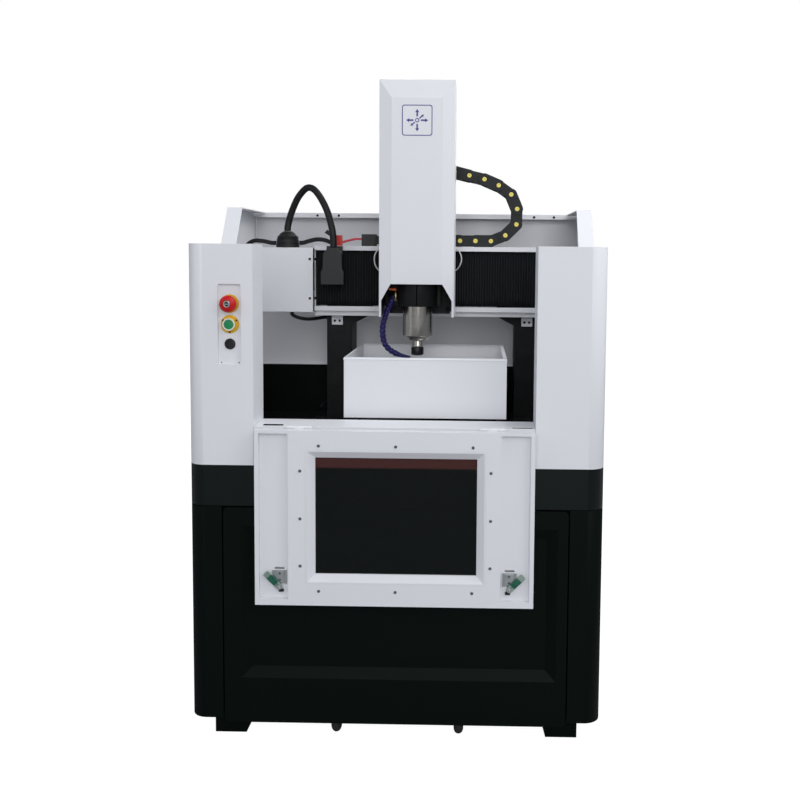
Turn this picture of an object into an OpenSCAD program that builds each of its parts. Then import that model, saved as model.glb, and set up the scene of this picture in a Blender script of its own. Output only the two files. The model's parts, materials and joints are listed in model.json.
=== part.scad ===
// Enclosed gantry milling machine: moving table, travelling head, fold-down front door.
// Millimetres. X to the right, Y to the back, Z up; the floor is Z = 0.
// Inside the modules, Y counts from the plane of the front sheets.

/* [Enclosure] */
// Overall width
body_w = 1000; // [1000:2:1020]
// Depth from the front sheets to the rear sheet
body_d = 748; // [748:2:770]
// Height of the white columns
column_top = 1204; // [1200:1:1210]
// Height where the upper enclosure meets the lower cabinet
seam_z = 577; // [565:1:579]
// Width of the left column
left_column_w = 160; // [150:1:165]
// Width of the right column
right_column_w = 167; // [155:1:169]
// Depth of each column
column_d = 110; // [100:1:110]
// Radius of the outer vertical corners
corner_r = 40; // [20:1:60]
// Sheet-metal thickness
sheet = 3; // [2:0.5:3]
// Height of the rear hood
hood_top = 1308; // [1290:1:1340]
// Height of the sill below the work opening
sill_top = 771; // [764:1:772]
// Height of the bottom edge of the lower cabinet
skirt_z = 50; // [44:1:60]

/* [Door] */
// Door width
door_w = 662; // [600:2:664]
// Door height
door_h = 420; // [400:1:424]
// Door thickness
door_t = 28; // [24:1:30]
// Width of the window
window_w = 384; // [340:2:390]
// Height of the window
window_h = 281; // [240:1:290]

/* [Gantry] */
// Centre of the gantry and of the table, to the right of the machine's centre
gantry_x = 62; // [55:1:66]
// Clear width between the legs
leg_gap = 473; // [465:1:475]
// Width of each leg
leg_w = 72; // [60:1:72]
// Length of the beam
beam_l = 672; // [660:2:674]
// Height of the beam's underside
beam_bottom = 1035; // [1030:1:1036]
// Height of the beam's top
beam_top = 1200; // [1198:1:1202]

/* [Head] */
// Centre of the head and spindle
head_x = 28; // [20:1:40]
// Width of the head cover
head_w = 200; // [196:1:210]
// Height of the top of the head cover
head_top = 1640; // [1636:1:1660]
// Spindle body diameter
spindle_d = 80; // [76:1:80]
// Tool bore diameter in the collet
tool_d = 8; // [3:0.5:10]

/* [Table] */
// Width of the work tank
tank_w = 409; // [400:1:420]
// Depth of the work tank, front to back
tank_d = 400; // [390:1:410]
// Height of the work tank
tank_h = 152; // [120:1:153]

/* [Casters] */
// Caster wheel diameter
caster_d = 62; // [56:1:62]
// Distance of the casters from the machine's centre
caster_x = 151; // [140:1:200]

/* [Hidden] */
$fn = 48;
white = "whitesmoke";
black = [0.1, 0.1, 0.11];

half_w = body_w / 2;
left_in = half_w - left_column_w;     // inner faces of the columns
right_in = half_w - right_column_w;
rear_in = body_d - sheet;         // front face of the rear sheet
louvre_depth = 8;
recess_x = 8;                     // centre of the access panel's pressed recess
hinge_y = -4;                     // door hinge axis, in front of the sheets
hinge_z = sill_top - 1.5;
hinge_x = 230;                    // distance of the hinges from the middle
knuckle_r = 3.6;
pin_r = 1.7;
door_top = hinge_z - 2.5;         // upper edge of the open door
window_mid = door_top - 206;
window_x = 3;                     // centre of the window
door_front = 2 * hinge_y - door_t;
origin_y = (rear_in + sheet + louvre_depth + door_front) / 2;

// Linear guides, blocks and screws, all three axes
rail_w = 20;
rail_h = 17.5;
block_w = 44;
block_h = 30;
block_l = 77;
screw_r = 8;
bearing_r = screw_r + 0.05;       // running fit in a bearing
nut_r = screw_r + 0.4;            // thread clearance of a ball nut
run_gap = 0.4;                    // air between a block and its rail

// X axis, on the front of the beam
beam_y = 550;
beam_d = 100;
beam_x0 = gantry_x - beam_l / 2;
beam_x1 = gantry_x + beam_l / 2;
leg_y = 540;
leg_d = 120;
x_rail_z = [1080, 1155];
x_screw_y = beam_y - 15;
x_screw_z = 1117.5;
channel_y = 485;
end_plate = 3;

// Z axis, on the head
back_y = 452;                     // front of the back plate
back_t = 20;
back_half = 85;
z_rail_dx = 60;
z_screw_y = 437;
mount_y = 406;                    // front of the spindle plate
mount_t = 16;
spindle_y = 366;
spindle_bottom = 951;
nut_top = 932;
nut_h = 22.5;
collet_nut_r = 17;
shaft_r = 12.75;
shaft_gap = 0.05;
cover_y = 300;
cover_back = 450;
cover_bottom = 1016;
bevel_w = 33;
bevel_d = 8;

// Y axis and table
deck_z = 690;
pad_z = 705;
y_rail_dx = 130;
y_screw_z = 716;
saddle_z = pad_z + block_h;
tank_z = sill_top + 1;            // clears the sill over the whole travel
tank_y = 335;
tank_wall = 3;
tank_floor = 4;
table_t = 22;

// Control panel on the left column
panel_x = -396;
panel_mid_z = 1013.5;
panel_w = 55;
panel_h = 191;
panel_y = 8;
estop_z = 1062.5;
start_z = 1013.5;
socket_z = 966.5;
estop_back = 8;                   // how far the stop button sits back from its usual height

caster_mid = 4;                   // centre of the casters

// Drag chain: pitch, height, width, and each link's angle from the fixed end up to the head
link_p = 44;
link_h = 34;
chain_y0 = 505;
chain_w = 50;
chain_x = -81;
chain_z = 1223.5;
link_turns = [0, 0, 0, 0, 0, 0, 0, 22, 45, 88, 113, 145, 157, 167, 166];

// Leads: hand-set routes
arch_route = [[-352, 500, 1247.2], [-352, 500, 1258], [-347, 500, 1280], [-336, 495, 1310],
    [-320, 486, 1340], [-300, 476, 1362], [-285, 470, 1368], [-268, 464, 1360],
    [-248, 456, 1334], [-230, 448, 1298], [-217, 441, 1254], [-213, 440, 1222], [-213, 440, 1201]];
box_lead_route = [[-340, 500, 1017.3], [-340, 500, 1009], [-324, 506, 1000], [-300, 518, 995],
    [-276, 540, 996], [-260, 562, 998], [-247.2, 562, 998]];
top_lead_route = [[-318.2, 500, 1214], [-308, 500, 1214], [-288, 500, 1220], [-266, 500, 1224],
    [-246, 500, 1222], [-230, 500, 1216], [-217.6, 500, 1216]];
side_lead_route = [[-385.8, 500, 1213], [-398, 500, 1213], [-424, 500, 1218], [-450, 500, 1218],
    [-470, 501, 1204], [-475, 502, 1180], [-468, 505, 1154], [-453, 506, 1143], [-440.6, 506, 1143]];
thin_route = [[-196.4, 0, 1216], [-184, 2, 1220], [-160, 12, 1226], [-142.6, 12, 1226]];
hose_route = [[-34, 360, 1073], [-36, 360, 1067], [-43, 361, 1055], [-52, 362, 1037], [-59.5, 364, 1016],
    [-66, 366, 993], [-67.5, 368, 966], [-61, 369, 938], [-44, 369, 920], [-20, 368, 909], [9, 366, 903]];

// Lubrication tubes beside the head, counted from the head's centre
right_tube_route = [[85.8, 462, 1204], [96, 462, 1204], [108, 467, 1196], [115, 469, 1181],
    [116, 470, 1168], [111, 473, 1152], [100, 480, 1140], [85.8, 480, 1140]];
left_tube_route = [[-85.8, 462, 1205], [-98, 462, 1205], [-116, 467, 1199], [-127, 469, 1184],
    [-129.5, 470, 1167], [-125, 473, 1148], [-110, 480, 1133], [-85.8, 480, 1133]];

// ---------- shared helpers ----------

// Moves a piece from front-plane depths to the machine's own origin
module placed() { translate([0, -origin_y, 0]) children(); }

module box(x0, x1, y0, y1, z0, z1) { translate([x0, y0, z0]) cube([x1 - x0, y1 - y0, z1 - z0]); }

module mirror_x() { children(); mirror([1, 0, 0]) children(); }

// Rectangle with round corners, centred
module round_rect(w, h, r) {
    square([w - 2 * r, h], center = true);
    square([w, h - 2 * r], center = true);
    for (sx = [-1, 1], sy = [-1, 1]) translate([sx * (w / 2 - r), sy * (h / 2 - r)]) circle(r);
}

// Stands an outline drawn in X and Z upright, with its depth towards +Y
module upright(y0, depth) {
    translate([0, y0 + depth, 0]) rotate([90, 0, 0]) linear_extrude(depth) children();
}

// Carries an outline drawn in Y and Z along X
module along_x(x0, length) {
    translate([x0, 0, 0]) rotate([90, 0, 90]) linear_extrude(length) children();
}

module rod_x(x0, x1, y, z, r) { translate([x0, y, z]) rotate([0, 90, 0]) cylinder(r = r, h = x1 - x0); }
module rod_y(x, y0, y1, z, r) { translate([x, y0, z]) rotate([-90, 0, 0]) cylinder(r = r, h = y1 - y0); }
module rod_z(x, y, z0, z1, r) { translate([x, y, z0]) cylinder(r = r, h = z1 - z0); }

// A carriage block that rides a rail: length along its own X, rail below it
module guide_block() {
    difference() {
        translate([-block_l / 2, -block_w / 2, 4]) cube([block_l, block_w, block_h - 4]);
        translate([-block_l, -rail_w / 2 - run_gap, -1])
            cube([2 * block_l, rail_w + 2 * run_gap, rail_h + 1 + run_gap]);
    }
}

// Catmull-Rom point between p[i] and p[i+1]
function knot(p, i) = p[max(0, min(len(p) - 1, i))];
function spline_at(p, i, t) = 0.5 * (2 * knot(p, i) + (knot(p, i + 1) - knot(p, i - 1)) * t
    + (2 * knot(p, i - 1) - 5 * knot(p, i) + 4 * knot(p, i + 1) - knot(p, i + 2)) * t * t
    + (3 * knot(p, i) - knot(p, i - 1) - 3 * knot(p, i + 1) + knot(p, i + 2)) * t * t * t);
function smooth_route(p, n) = [for (i = [0 : len(p) - 2], k = [0 : n - 1]) spline_at(p, i, k / n),
    p[len(p) - 1]];
function unit(v) = v / norm(v);
function tangent(c, i) = unit(c[min(len(c) - 1, i + 1)] - c[max(0, i - 1)]);

// Tube along a centre line, one radius for each ring
module swept_tube(c, radii, sides) {
    n = len(c);
    rings = [for (i = [0 : n - 1])
        let (t = tangent(c, i), u = unit(cross(t, [0.13, 1, 0.07])), v = cross(t, u))
        for (k = [0 : sides - 1]) c[i] + radii[i] * (cos(360 * k / sides) * u + sin(360 * k / sides) * v)];
    walls = [for (i = [0 : n - 2], k = [0 : sides - 1])
        let (a = i * sides + k, b = i * sides + (k + 1) % sides) [b, a, a + sides, b + sides]];
    ends = [[for (k = [0 : sides - 1]) k], [for (k = [sides - 1 : -1 : 0]) (n - 1) * sides + k]];
    polyhedron(rings, concat(walls, ends));
}

module plain_lead(route, n, r, sides = 10) {
    c = smooth_route(route, n);
    swept_tube(c, [for (p = c) r], sides);
}

// ---------- stand and bed ----------

module caster_plate(x, y) {
    difference() {
        box(x - 32, x + 32, y - 32, y + 32, 84, 88);
        rod_z(x, y, 80, 92, 6.06);
    }
}

module foot() {
    // Outer side upright, inner side flared under the cabinet
    upright(30, 70) polygon([[446, 0], [369, 0], [357, 44], [357, 60], [446, 60]]);
}

module stand_frame() color(black) placed() {
    difference() {
        union() {
            mirror_x() {
                foot();
                translate([0, 610, 0]) foot();
                for (y0 = [30, 640]) box(376, 446, y0, y0 + 70, 60, 640);
                for (z0 = [90, 580]) box(386, 436, 100, 640, z0, z0 + 60);
            }
            for (y0 = [36, 646], z0 = [88, 580]) box(-376, 376, y0, y0 + 58, z0, z0 + 60);
            for (sx = [-1, 1]) caster_plate(caster_mid + sx * caster_x, 64);
        }
        for (sx = [-1, 1]) rod_z(caster_mid + sx * caster_x, 64, 80, 110, 6.06);
    }
}

module bearing_lug_y(y0) {
    difference() {
        box(gantry_x - 30, gantry_x + 30, y0, y0 + 16, deck_z, 730);
        rod_y(gantry_x, y0 - 1, y0 + 17, y_screw_z, bearing_r);
    }
}

module machine_bed() color(black) placed() {
    deck_t = 10;
    difference() {
        union() {
            box(sheet - half_w, half_w - sheet, column_d, rear_in, deck_z - deck_t, deck_z);
            box(-446, 446, 116, 710, 640, deck_z - deck_t);
            for (sx = [-1, 1])
                box(gantry_x + sx * y_rail_dx - 25, gantry_x + sx * y_rail_dx + 25, 112, 700, deck_z, pad_z);
        }
        // Cast pockets between the ribs, open below
        for (i = [0 : 3]) box(-420 + i * 212, -224 + i * 212, 140, 686, 630, deck_z - deck_t);
    }
    bearing_lug_y(column_d);
    bearing_lug_y(684);
}

// ---------- gantry ----------

// Right leg drawn from the gantry's centre; the left one is its mirror
module leg_form() {
    g = leg_gap / 2;
    upright(leg_y, leg_d) polygon([[g, deck_z + 18], [g + leg_w, deck_z + 18], [g + leg_w, beam_bottom],
        [g - 50, beam_bottom], [g - 50, 1005], [g, 979]]);
    box(g - 8, g + leg_w + 30, leg_y - 12, leg_y + leg_d + 12, deck_z, deck_z + 18);
    // Stiffening rib up the back
    box(g + 24, g + 48, leg_y + leg_d, leg_y + leg_d + 24, deck_z + 18, 1000);
}

module gantry_legs() color(black) placed() translate([gantry_x, 0, 0]) mirror_x() leg_form();

module gantry_beam() color(black) placed() {
    wall = 14;
    pocket_l = (beam_l - 5 * wall) / 4;
    difference() {
        union() {
            box(beam_x0, beam_x1, beam_y, beam_y + beam_d, beam_bottom, beam_top);
            // Screw bearings at both ends
            for (x = [beam_x0, beam_x1 - 18]) box(x, x + 18, beam_y - 30, beam_y, 1103, 1132);
        }
        for (i = [0 : 3]) {
            x = beam_x0 + wall + i * (pocket_l + wall);
            box(x, x + pocket_l, beam_y + 24, beam_y + beam_d + 1, beam_bottom + wall, beam_top - wall);
        }
        rod_x(beam_x0 - 1, beam_x1 + 1, x_screw_y, x_screw_z, bearing_r);
    }
}

module x_rail(z) { box(beam_x0 + 12, beam_x1 - 12, beam_y - rail_h, beam_y, z - rail_w / 2, z + rail_w / 2); }
module y_rail(x) { box(x - rail_w / 2, x + rail_w / 2, 114, 694, pad_z, pad_z + rail_h); }

module linear_rails() color("silver") placed() {
    for (z = x_rail_z) x_rail(z);
    for (sx = [-1, 1]) y_rail(gantry_x + sx * y_rail_dx);
}

// Square servo motor with its shaft end towards +X
module motor(body_l) {
    size = 80;
    translate([-body_l, -size / 2, -size / 2]) difference() {
        cube([body_l, size, size]);
        for (a = [0, 1], b = [0, 1]) translate([10, a * size, b * size]) rotate([0, 90, 0])
            cylinder(r = 7, h = body_l - 22);
    }
    translate([-body_l - 12, -28, -28]) cube([12, 56, 56]);
}

module axis_motors() color([0.15, 0.15, 0.16]) placed() {
    translate([beam_x0, x_screw_y, x_screw_z]) motor(86);
    translate([gantry_x, column_d, y_screw_z]) rotate([0, 0, 90]) motor(56);
}

module beam_end_cover() color(white) placed() {
    difference() {
        box(-440, beam_x0 - 1, 468, 602, 1018, beam_top);
        box(-438, beam_x0, 470, 600, 1020, beam_top - 2);
    }
}

module guide_tab(x) { box(x, x + 32, leg_y - sheet, leg_y, 978, 1024); }

module bellows_channels() color(white) placed() {
    lip = 14;
    // Upper strip and lower strip, each a folded sheet along the beam
    along_x(beam_x0, beam_l) polygon([[channel_y, 1193], [channel_y + sheet, 1193],
        [channel_y + sheet, 1203], [beam_y + 12, 1203], [beam_y + 12, 1206], [channel_y, 1206]]);
    along_x(beam_x0, beam_l) polygon([[channel_y, 1021], [channel_y + 15, 1021], [channel_y + 15, 1007],
        [channel_y + 18, 1007], [channel_y + 18, 1021], [leg_y, 1021], [leg_y, 1024],
        [channel_y + sheet, 1024], [channel_y + sheet, 1021 + lip], [channel_y, 1021 + lip]]);
    for (x = [beam_x0, beam_x1 - end_plate])
        box(x, x + end_plate, channel_y + sheet, beam_y - 31, 1024, 1203);
    for (x = [-232, 318]) guide_tab(x);
}

// Pleated cover: a zigzag sheet from x0 to x1
module bellows(x0, x1) {
    pleats = round((x1 - x0) / 8);
    p = (x1 - x0) / pleats;
    y_out = channel_y + 7;
    y_in = y_out + 11;
    t = 1.2;
    front = [for (i = [0 : pleats - 1]) each [[x0 + i * p, y_in], [x0 + (i + 0.5) * p, y_out]], [x1, y_in]];
    back = [for (i = [len(front) - 1 : -1 : 0]) front[i] + [0, t]];
    translate([0, 0, 1037]) linear_extrude(154) polygon(concat(front, back));
}

module bellows_left() color(black) placed() bellows(beam_x0 + end_plate, head_x - back_half - 0.3);
module bellows_right() color(black) placed() bellows(head_x + back_half + 0.3, beam_x1 - end_plate);

// ---------- enclosure ----------

// Plan of a column or of a lower corner, on the left side
module corner_plan(x_in, depth, inset) {
    r = corner_r - inset;
    translate([-half_w + inset, corner_r]) square([half_w - inset + x_in, depth - corner_r - inset]);
    translate([-half_w + corner_r, inset]) square([half_w - corner_r + x_in, corner_r + 1]);
    translate([-half_w + corner_r, corner_r]) circle(r);
}

module column_form(x_in) {
    difference() {
        translate([0, 0, seam_z]) linear_extrude(column_top - seam_z) corner_plan(x_in, column_d, 0);
        translate([0, 0, seam_z - 1]) linear_extrude(column_top - seam_z + 1 - sheet)
            corner_plan(x_in - sheet, column_d, sheet);
        // Ways through for the stand's top rails
        box(-437, -385, column_d - sheet - 1, column_d + 1, seam_z - 1, 641);
        box(x_in - sheet - 1, x_in + 1, 35, 95, seam_z - 1, 641);
    }
}

module left_column() color(white) placed() difference() {
    column_form(-left_in);
    // Recess for the operator panel
    translate([panel_x, 0, panel_mid_z]) upright(-1, sheet + 2) round_rect(panel_w, panel_h, 4);
}

module right_column() color(white) placed() mirror([1, 0, 0]) column_form(-right_in);

// Fixed half of a door hinge: two knuckles on the sill's front
module hinge_seat(x) {
    difference() {
        for (x0 = [x - 30, x + 12]) {
            rod_x(x0, x0 + 18, hinge_y, hinge_z, knuckle_r);
            box(x0, x0 + 18, hinge_y + 1, 0.5, hinge_z - 3, hinge_z);
        }
        rod_x(x - 31, x + 31, hinge_y, hinge_z, pin_r + 0.2);
    }
}

// Moving half: the middle knuckle with its pin, and a leaf into the door
module hinge_pin(x) {
    rod_x(x - 11.7, x + 11.7, hinge_y, hinge_z, knuckle_r);
    rod_x(x - 29, x + 29, hinge_y, hinge_z, pin_r);
    box(x - 11.7, x + 11.7, hinge_y - 5.5, hinge_y - 1, hinge_z - 3.3, hinge_z - 1.8);
}

module front_sill() color(white) placed() {
    for (x = [-hinge_x, hinge_x]) hinge_seat(x);
    difference() {
        along_x(0.5 - left_in, left_in + right_in - 1) polygon([[0, seam_z], [sheet, seam_z],
            [sheet, sill_top - sheet], [column_d - sheet, sill_top - sheet], [column_d - sheet, deck_z - 10],
            [column_d, deck_z - 10], [column_d, sill_top], [0, sill_top]]);
        // Way through for the Y motor
        box(gantry_x - 42, gantry_x + 42, column_d - sheet - 1, column_d + 1, deck_z - 16, sill_top - 8);
        // Drain slots along the front edge
        for (x0 = [-321, 278]) box(x0, x0 + 48, 11, 33, sill_top - sheet - 1, sill_top + 1);
    }
}

module side_panel_form() {
    x_in = -418;
    translate([0, 0, skirt_z]) linear_extrude(seam_z - 1.5 - skirt_z) {
        difference() {
            corner_plan(x_in, rear_in, 0);
            corner_plan(x_in + 1, rear_in + sheet + 1, sheet);
            translate([-half_w + corner_r, sheet]) square([half_w, rear_in]);
        }
    }
    // Return that meets the front post
    box(x_in - sheet, x_in, sheet, 30, 62, 540);
}

module left_side_panel() color(black) placed() side_panel_form();
module right_side_panel() color(black) placed() mirror([1, 0, 0]) side_panel_form();

// Pressed recess: a block that narrows towards the back
module recess_block(grow) {
    half = 382 + grow;
    z0 = 152 - grow;
    z1 = 528 + grow;
    slope = 26;
    deep = 12;
    translate([recess_x, 0, 0]) hull() {
        box(-half, half, -grow, 0.01, z0, z1);
        box(slope - half, half - slope, 0, deep + grow, z0 + slope, z1 - slope);
    }
}

module front_access_panel() color(black) placed() {
    panel_z0 = 40;
    panel_z1 = seam_z - 4;
    difference() {
        union() {
            translate([0, 0, (panel_z0 + panel_z1) / 2]) upright(0, sheet)
                round_rect(830, panel_z1 - panel_z0, 12);
            intersection() {
                recess_block(sheet);
                box(-half_w, half_w, 1, 20, 60, 560);
            }
        }
        recess_block(0.001);
    }
    // Returns that meet the front posts
    mirror_x() box(397, 400, sheet, 30, 62, 540);
}

// Four banks of eight louvres, placed by their left ends and top edges
louvre_x = [-330, -210, 120, 240];
louvre_z = [for (i = [0 : 7]) 261 + i * 26];
louvre_w = 90;

module louvre(x, z) {
    tip_y = body_d + louvre_depth;
    along_x(x, louvre_w) polygon([[body_d, z], [tip_y, z - 14], [tip_y, z - 15.5], [body_d, z - 2]]);
}

module rear_panel() color(black) placed() {
    difference() {
        box(-half_w, half_w, rear_in, body_d, skirt_z, 860);
        for (x = louvre_x, z = louvre_z)
            box(x + 2, x + louvre_w - 2, rear_in - 1, body_d + 1, z - 15, z - 3);
    }
    for (x = louvre_x, z = louvre_z) louvre(x, z);
}

module hood_wall_form() {
    wing = 330;
    // Side sheet, cut back above the columns
    along_x(-half_w, sheet) polygon([[column_d, seam_z], [rear_in, seam_z], [rear_in, hood_top],
        [wing + 75, hood_top], [wing, column_top], [column_d, column_top]]);
    // Folded edge along the slope and the top
    along_x(-half_w + sheet, 38) polygon([[wing, column_top], [wing + 75, hood_top], [702, hood_top],
        [702, hood_top - sheet], [wing + 76.5, hood_top - sheet], [wing + 3.7, column_top]]);
}

module left_hood_wall() color(white) placed() hood_wall_form();
module right_hood_wall() color(white) placed() mirror([1, 0, 0]) hood_wall_form();

module rear_hood_wall() color(white) placed() {
    x = half_w - sheet - 0.5;
    along_x(-x, 2 * x) polygon([[705, hood_top], [rear_in, hood_top], [rear_in, 840], [rear_in - 14, 840],
        [rear_in - 14, 843], [rear_in - sheet, 843], [rear_in - sheet, hood_top - sheet],
        [708, hood_top - sheet], [708, hood_top - 15], [705, hood_top - 15]]);
}

// ---------- operator panel ----------

module control_plate() color(white) placed() {
    difference() {
        box(panel_x - 36, panel_x + 36, panel_y, panel_y + 2, panel_mid_z - 104, panel_mid_z + 104);
        for (z = [estop_z, start_z, socket_z]) rod_y(panel_x, panel_y - 1, panel_y + 3, z, 11.6);
    }
    // Return flanges that close the recess
    difference() {
        translate([panel_x, 0, panel_mid_z]) upright(sheet, panel_y - sheet)
            round_rect(panel_w + 4, panel_h + 4, 6);
        translate([panel_x, 0, panel_mid_z]) upright(0, panel_y) round_rect(panel_w, panel_h, 4);
    }
}

module legend_rings() color("gold") placed() {
    for (z = [estop_z, start_z]) {
        collar = z == start_z ? 12 : 3;
        translate([panel_x, panel_y, z]) rotate([90, 0, 0]) rotate_extrude()
            polygon([[11.7, 0], [22, 0], [22, 1], [20.5, 2.5], [15.5, 2.5], [15, collar], [11.7, collar]]);
    }
}

module estop_plunger() color("silver") placed() {
    rod_y(panel_x, estop_back - 14, 34, estop_z, 11);
    rod_y(panel_x, estop_back - 26, estop_back - 14, estop_z, 6);
}

module estop_head() color("red") placed() translate([panel_x, estop_back - 12.5, estop_z]) rotate([90, 0, 0])
    rotate_extrude() polygon([[6.05, 1.9], [14, 1.9], [14, 0], [17, 0], [20, 4], [20, 9], [17.5, 14.5],
        [13, 18], [9, 19], [9, 17.5], [0, 17.5], [0, 13.9], [6.05, 13.9]]);

module start_button() color("green") placed() translate([panel_x, 30, start_z]) rotate([90, 0, 0])
    rotate_extrude() polygon([[0, 0], [11.4, 0], [11.4, 35], [10.4, 36.5], [0, 37]]);

// ---------- leads and connectors ----------

module cable_boot() {
    // Round grommet with a domed neck on the end cover
    translate([-352, 500, beam_top]) rotate_extrude()
        polygon([[0, 0], [33, 0], [33, 6], [31, 10], [31, 20], [27, 32], [20, 41], [12, 46], [0, 46]]);
}

module cable_hood() {
    upright(425, 40) polygon([[-226, 1200], [-200, 1200], [-189, 1184], [-187, 1140], [-183, 1134],
        [-183, 1098], [-246, 1098], [-246, 1134], [-241, 1140], [-239, 1184]]);
    // Fixing plate up to the beam's upper strip
    box(-236, -192, 465, channel_y, 1112, 1205);
}

module panel_socket() {
    translate([panel_x, panel_y + 12, socket_z]) rotate([90, 0, 0]) rotate_extrude()
        polygon([[0, 0], [11.4, 0], [11.4, 12], [13, 12], [13, 14.5], [9.5, 16], [8.5, 16],
            [8.5, 10], [0, 10]]);
}

module cable_connectors() color(black) placed() {
    cable_boot();
    cable_hood();
    panel_socket();
    // Plug on the beam, its lid swung open to the left
    box(-217, -197, 489, 513, 1206, 1236);
    upright(492, 16) polygon([[-216.5, 1224], [-216.5, 1235], [-238, 1251], [-246, 1243]]);
    // Fixed end of the drag chain, its tongue between the first link's pins
    box(-142, -102, chain_y0, chain_y0 + chain_w, 1206, 1240);
    box(-102, -70, chain_y0 + 7, chain_y0 + chain_w - 7, 1212, 1235);
}

module leads() color([0.12, 0.12, 0.13]) placed() {
    plain_lead(arch_route, 3, 9.5);
    plain_lead(box_lead_route, 2, 5, 8);
    plain_lead(top_lead_route, 2, 6, 8);
    plain_lead(side_lead_route, 2, 6, 8);
    for (y = [494, 501, 508]) translate([0, y, 0]) plain_lead(thin_route, 2, 3, 8);
}

// ---------- drag chain ----------

function chain_point(i) = i == 0 ? [chain_x, chain_z]
    : chain_point(i - 1) + link_p * [cos(link_turns[i - 1]), sin(link_turns[i - 1])];

// One link: two side plates, outer or inner, joined by two bars
module chain_link(wide) {
    plate = 3;
    y0 = wide ? 0 : plate + 0.3;
    width = chain_w - 2 * y0;
    stud_r = 4;
    module side() linear_extrude(plate) {
        circle(link_h / 2);
        translate([link_p, 0]) circle(link_h / 2);
        translate([0, -link_h / 2]) square([link_p, link_h]);
    }
    translate([0, y0, 0]) {
        difference() {
            for (y = [plate, width]) translate([0, y, 0]) rotate([90, 0, 0]) side();
            if (!wide) for (x = [0, link_p]) rod_y(x, -1, width + 1, 0, stud_r + 0.1);
        }
        for (z = [-12, 9]) translate([link_p / 2 - 5, plate, z]) cube([10, width - 2 * plate, 3]);
        if (wide) for (x = [0, link_p]) {
            rod_y(x, plate, 2 * plate + 1, 0, stud_r);
            rod_y(x, width - 2 * plate - 1, width - plate, 0, stud_r);
            rod_y(x, -1.5, 0, 0, 6);
        }
    }
}

module drag_chain() color(black) placed() {
    for (i = [0 : len(link_turns) - 1]) translate([chain_point(i)[0], chain_y0, chain_point(i)[1]])
        rotate([0, -link_turns[i], 0]) chain_link(i % 2 == 0);
}

// ---------- head ----------

module z_backplate() color([0.2, 0.2, 0.22]) placed() translate([head_x, 0, 0]) {
    difference() {
        union() {
            box(-back_half, back_half, back_y, back_y + back_t, 1018, 1560);
            box(-92, 92, back_y, back_y + back_t, 1212, 1560);
            // Saddle behind, between the bellows
            box(-back_half, back_half, back_y + back_t, beam_y - block_h, 1048, 1186);
            box(-24, 24, beam_y - block_h, beam_y - 3, 1103.5, 1131.5);
            // Motor shelf with the upper screw bearing, and the lower bearing
            box(-48, 48, 392, back_y, 1546, 1560);
            // Arm behind, with a tongue inside the drag chain's last link
            box(58, 72, back_y + back_t, chain_y0 + chain_w, 1398, 1442);
            box(72, 106, chain_y0 + 8, chain_y0 + chain_w - 8, 1408, 1429);
        }
        rod_x(-back_half - 1, back_half + 1, x_screw_y, x_screw_z, nut_r);
        rod_z(0, z_screw_y, 1500, 1570, bearing_r);
    }
}

module x_blocks() color("silver") placed() {
    for (z = x_rail_z, dx = [-44, 44]) translate([head_x + dx, beam_y, z]) rotate([90, 0, 0]) guide_block();
}

module z_rails() color("silver") placed() {
    for (sx = [-1, 1]) box(head_x + sx * z_rail_dx - rail_w / 2, head_x + sx * z_rail_dx + rail_w / 2,
        back_y - rail_h, back_y, 1038, 1540);
}

module z_motor() color([0.15, 0.15, 0.16]) placed()
    translate([head_x, z_screw_y, 1560]) rotate([0, 90, 0]) motor(60);

module lube_tubes() color(white) placed() translate([head_x, 0, 0]) {
    plain_lead(left_tube_route, 2, 1.8, 8);
    plain_lead(right_tube_route, 2, 1.8, 8);
}

// Solid block of the cover with its bevelled front
module cover_block(grow) {
    h = head_w / 2 - grow;
    f = h - bevel_w + grow / 2;
    top = head_top - grow;
    bottom = cover_bottom - grow;
    hull() {
        box(-h, h, cover_y + bevel_d + grow, cover_back, bottom, top);
        box(-f, f, cover_y + grow, cover_y + bevel_d + grow + 1, bottom, top - 48 + grow / 2);
    }
}

module head_cover() color(white) placed() translate([head_x, 0, 0]) {
    inner = head_w / 2 - sheet;
    difference() {
        cover_block(0);
        cover_block(sheet);
        box(-inner, inner, cover_y + 40, cover_back + 1, cover_bottom - 1, head_top - sheet);
        // Notch round the spindle
        upright(cover_y - 5, 30) polygon([[-94, cover_bottom - 1], [-94, 1060], [-69, 1104],
            [69, 1104], [94, 1060], [94, cover_bottom - 1]]);
    }
    // Side returns screwed to the back plate
    for (sx = [-1, 1]) box(sx * 91.5 - 8, sx * 91.5 + 8, cover_back - 1, back_y, 1212, 1560);
}

module spindle_mount() color([0.12, 0.12, 0.13]) placed() translate([head_x, 0, 0]) {
    r = spindle_d / 2;
    difference() {
        union() {
            box(-92, 92, mount_y, mount_y + mount_t, 1027, 1335);
            // Clamp with a round front
            rod_z(0, spindle_y, 1044, 1150, r + 13);
            box(-r - 30, r + 22, spindle_y + 4, mount_y, 1044, 1150);
            // Ball nut housing at the back
            box(-24, 24, mount_y + mount_t, back_y - 3, 1185, 1225);
        }
        rod_z(0, spindle_y, 1040, 1160, r);
        rod_z(0, z_screw_y, 1180, 1230, nut_r);
        // Slit of the clamp
        box(-1.5, 1.5, spindle_y - r - 20, spindle_y - r + 5, 1040, 1160);
    }
}

module z_blocks() color("silver") placed() {
    for (sx = [-1, 1], z = [1180, 1290]) translate([head_x + sx * z_rail_dx, back_y, z])
        rotate([90, 90, 0]) guide_block();
}

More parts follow.
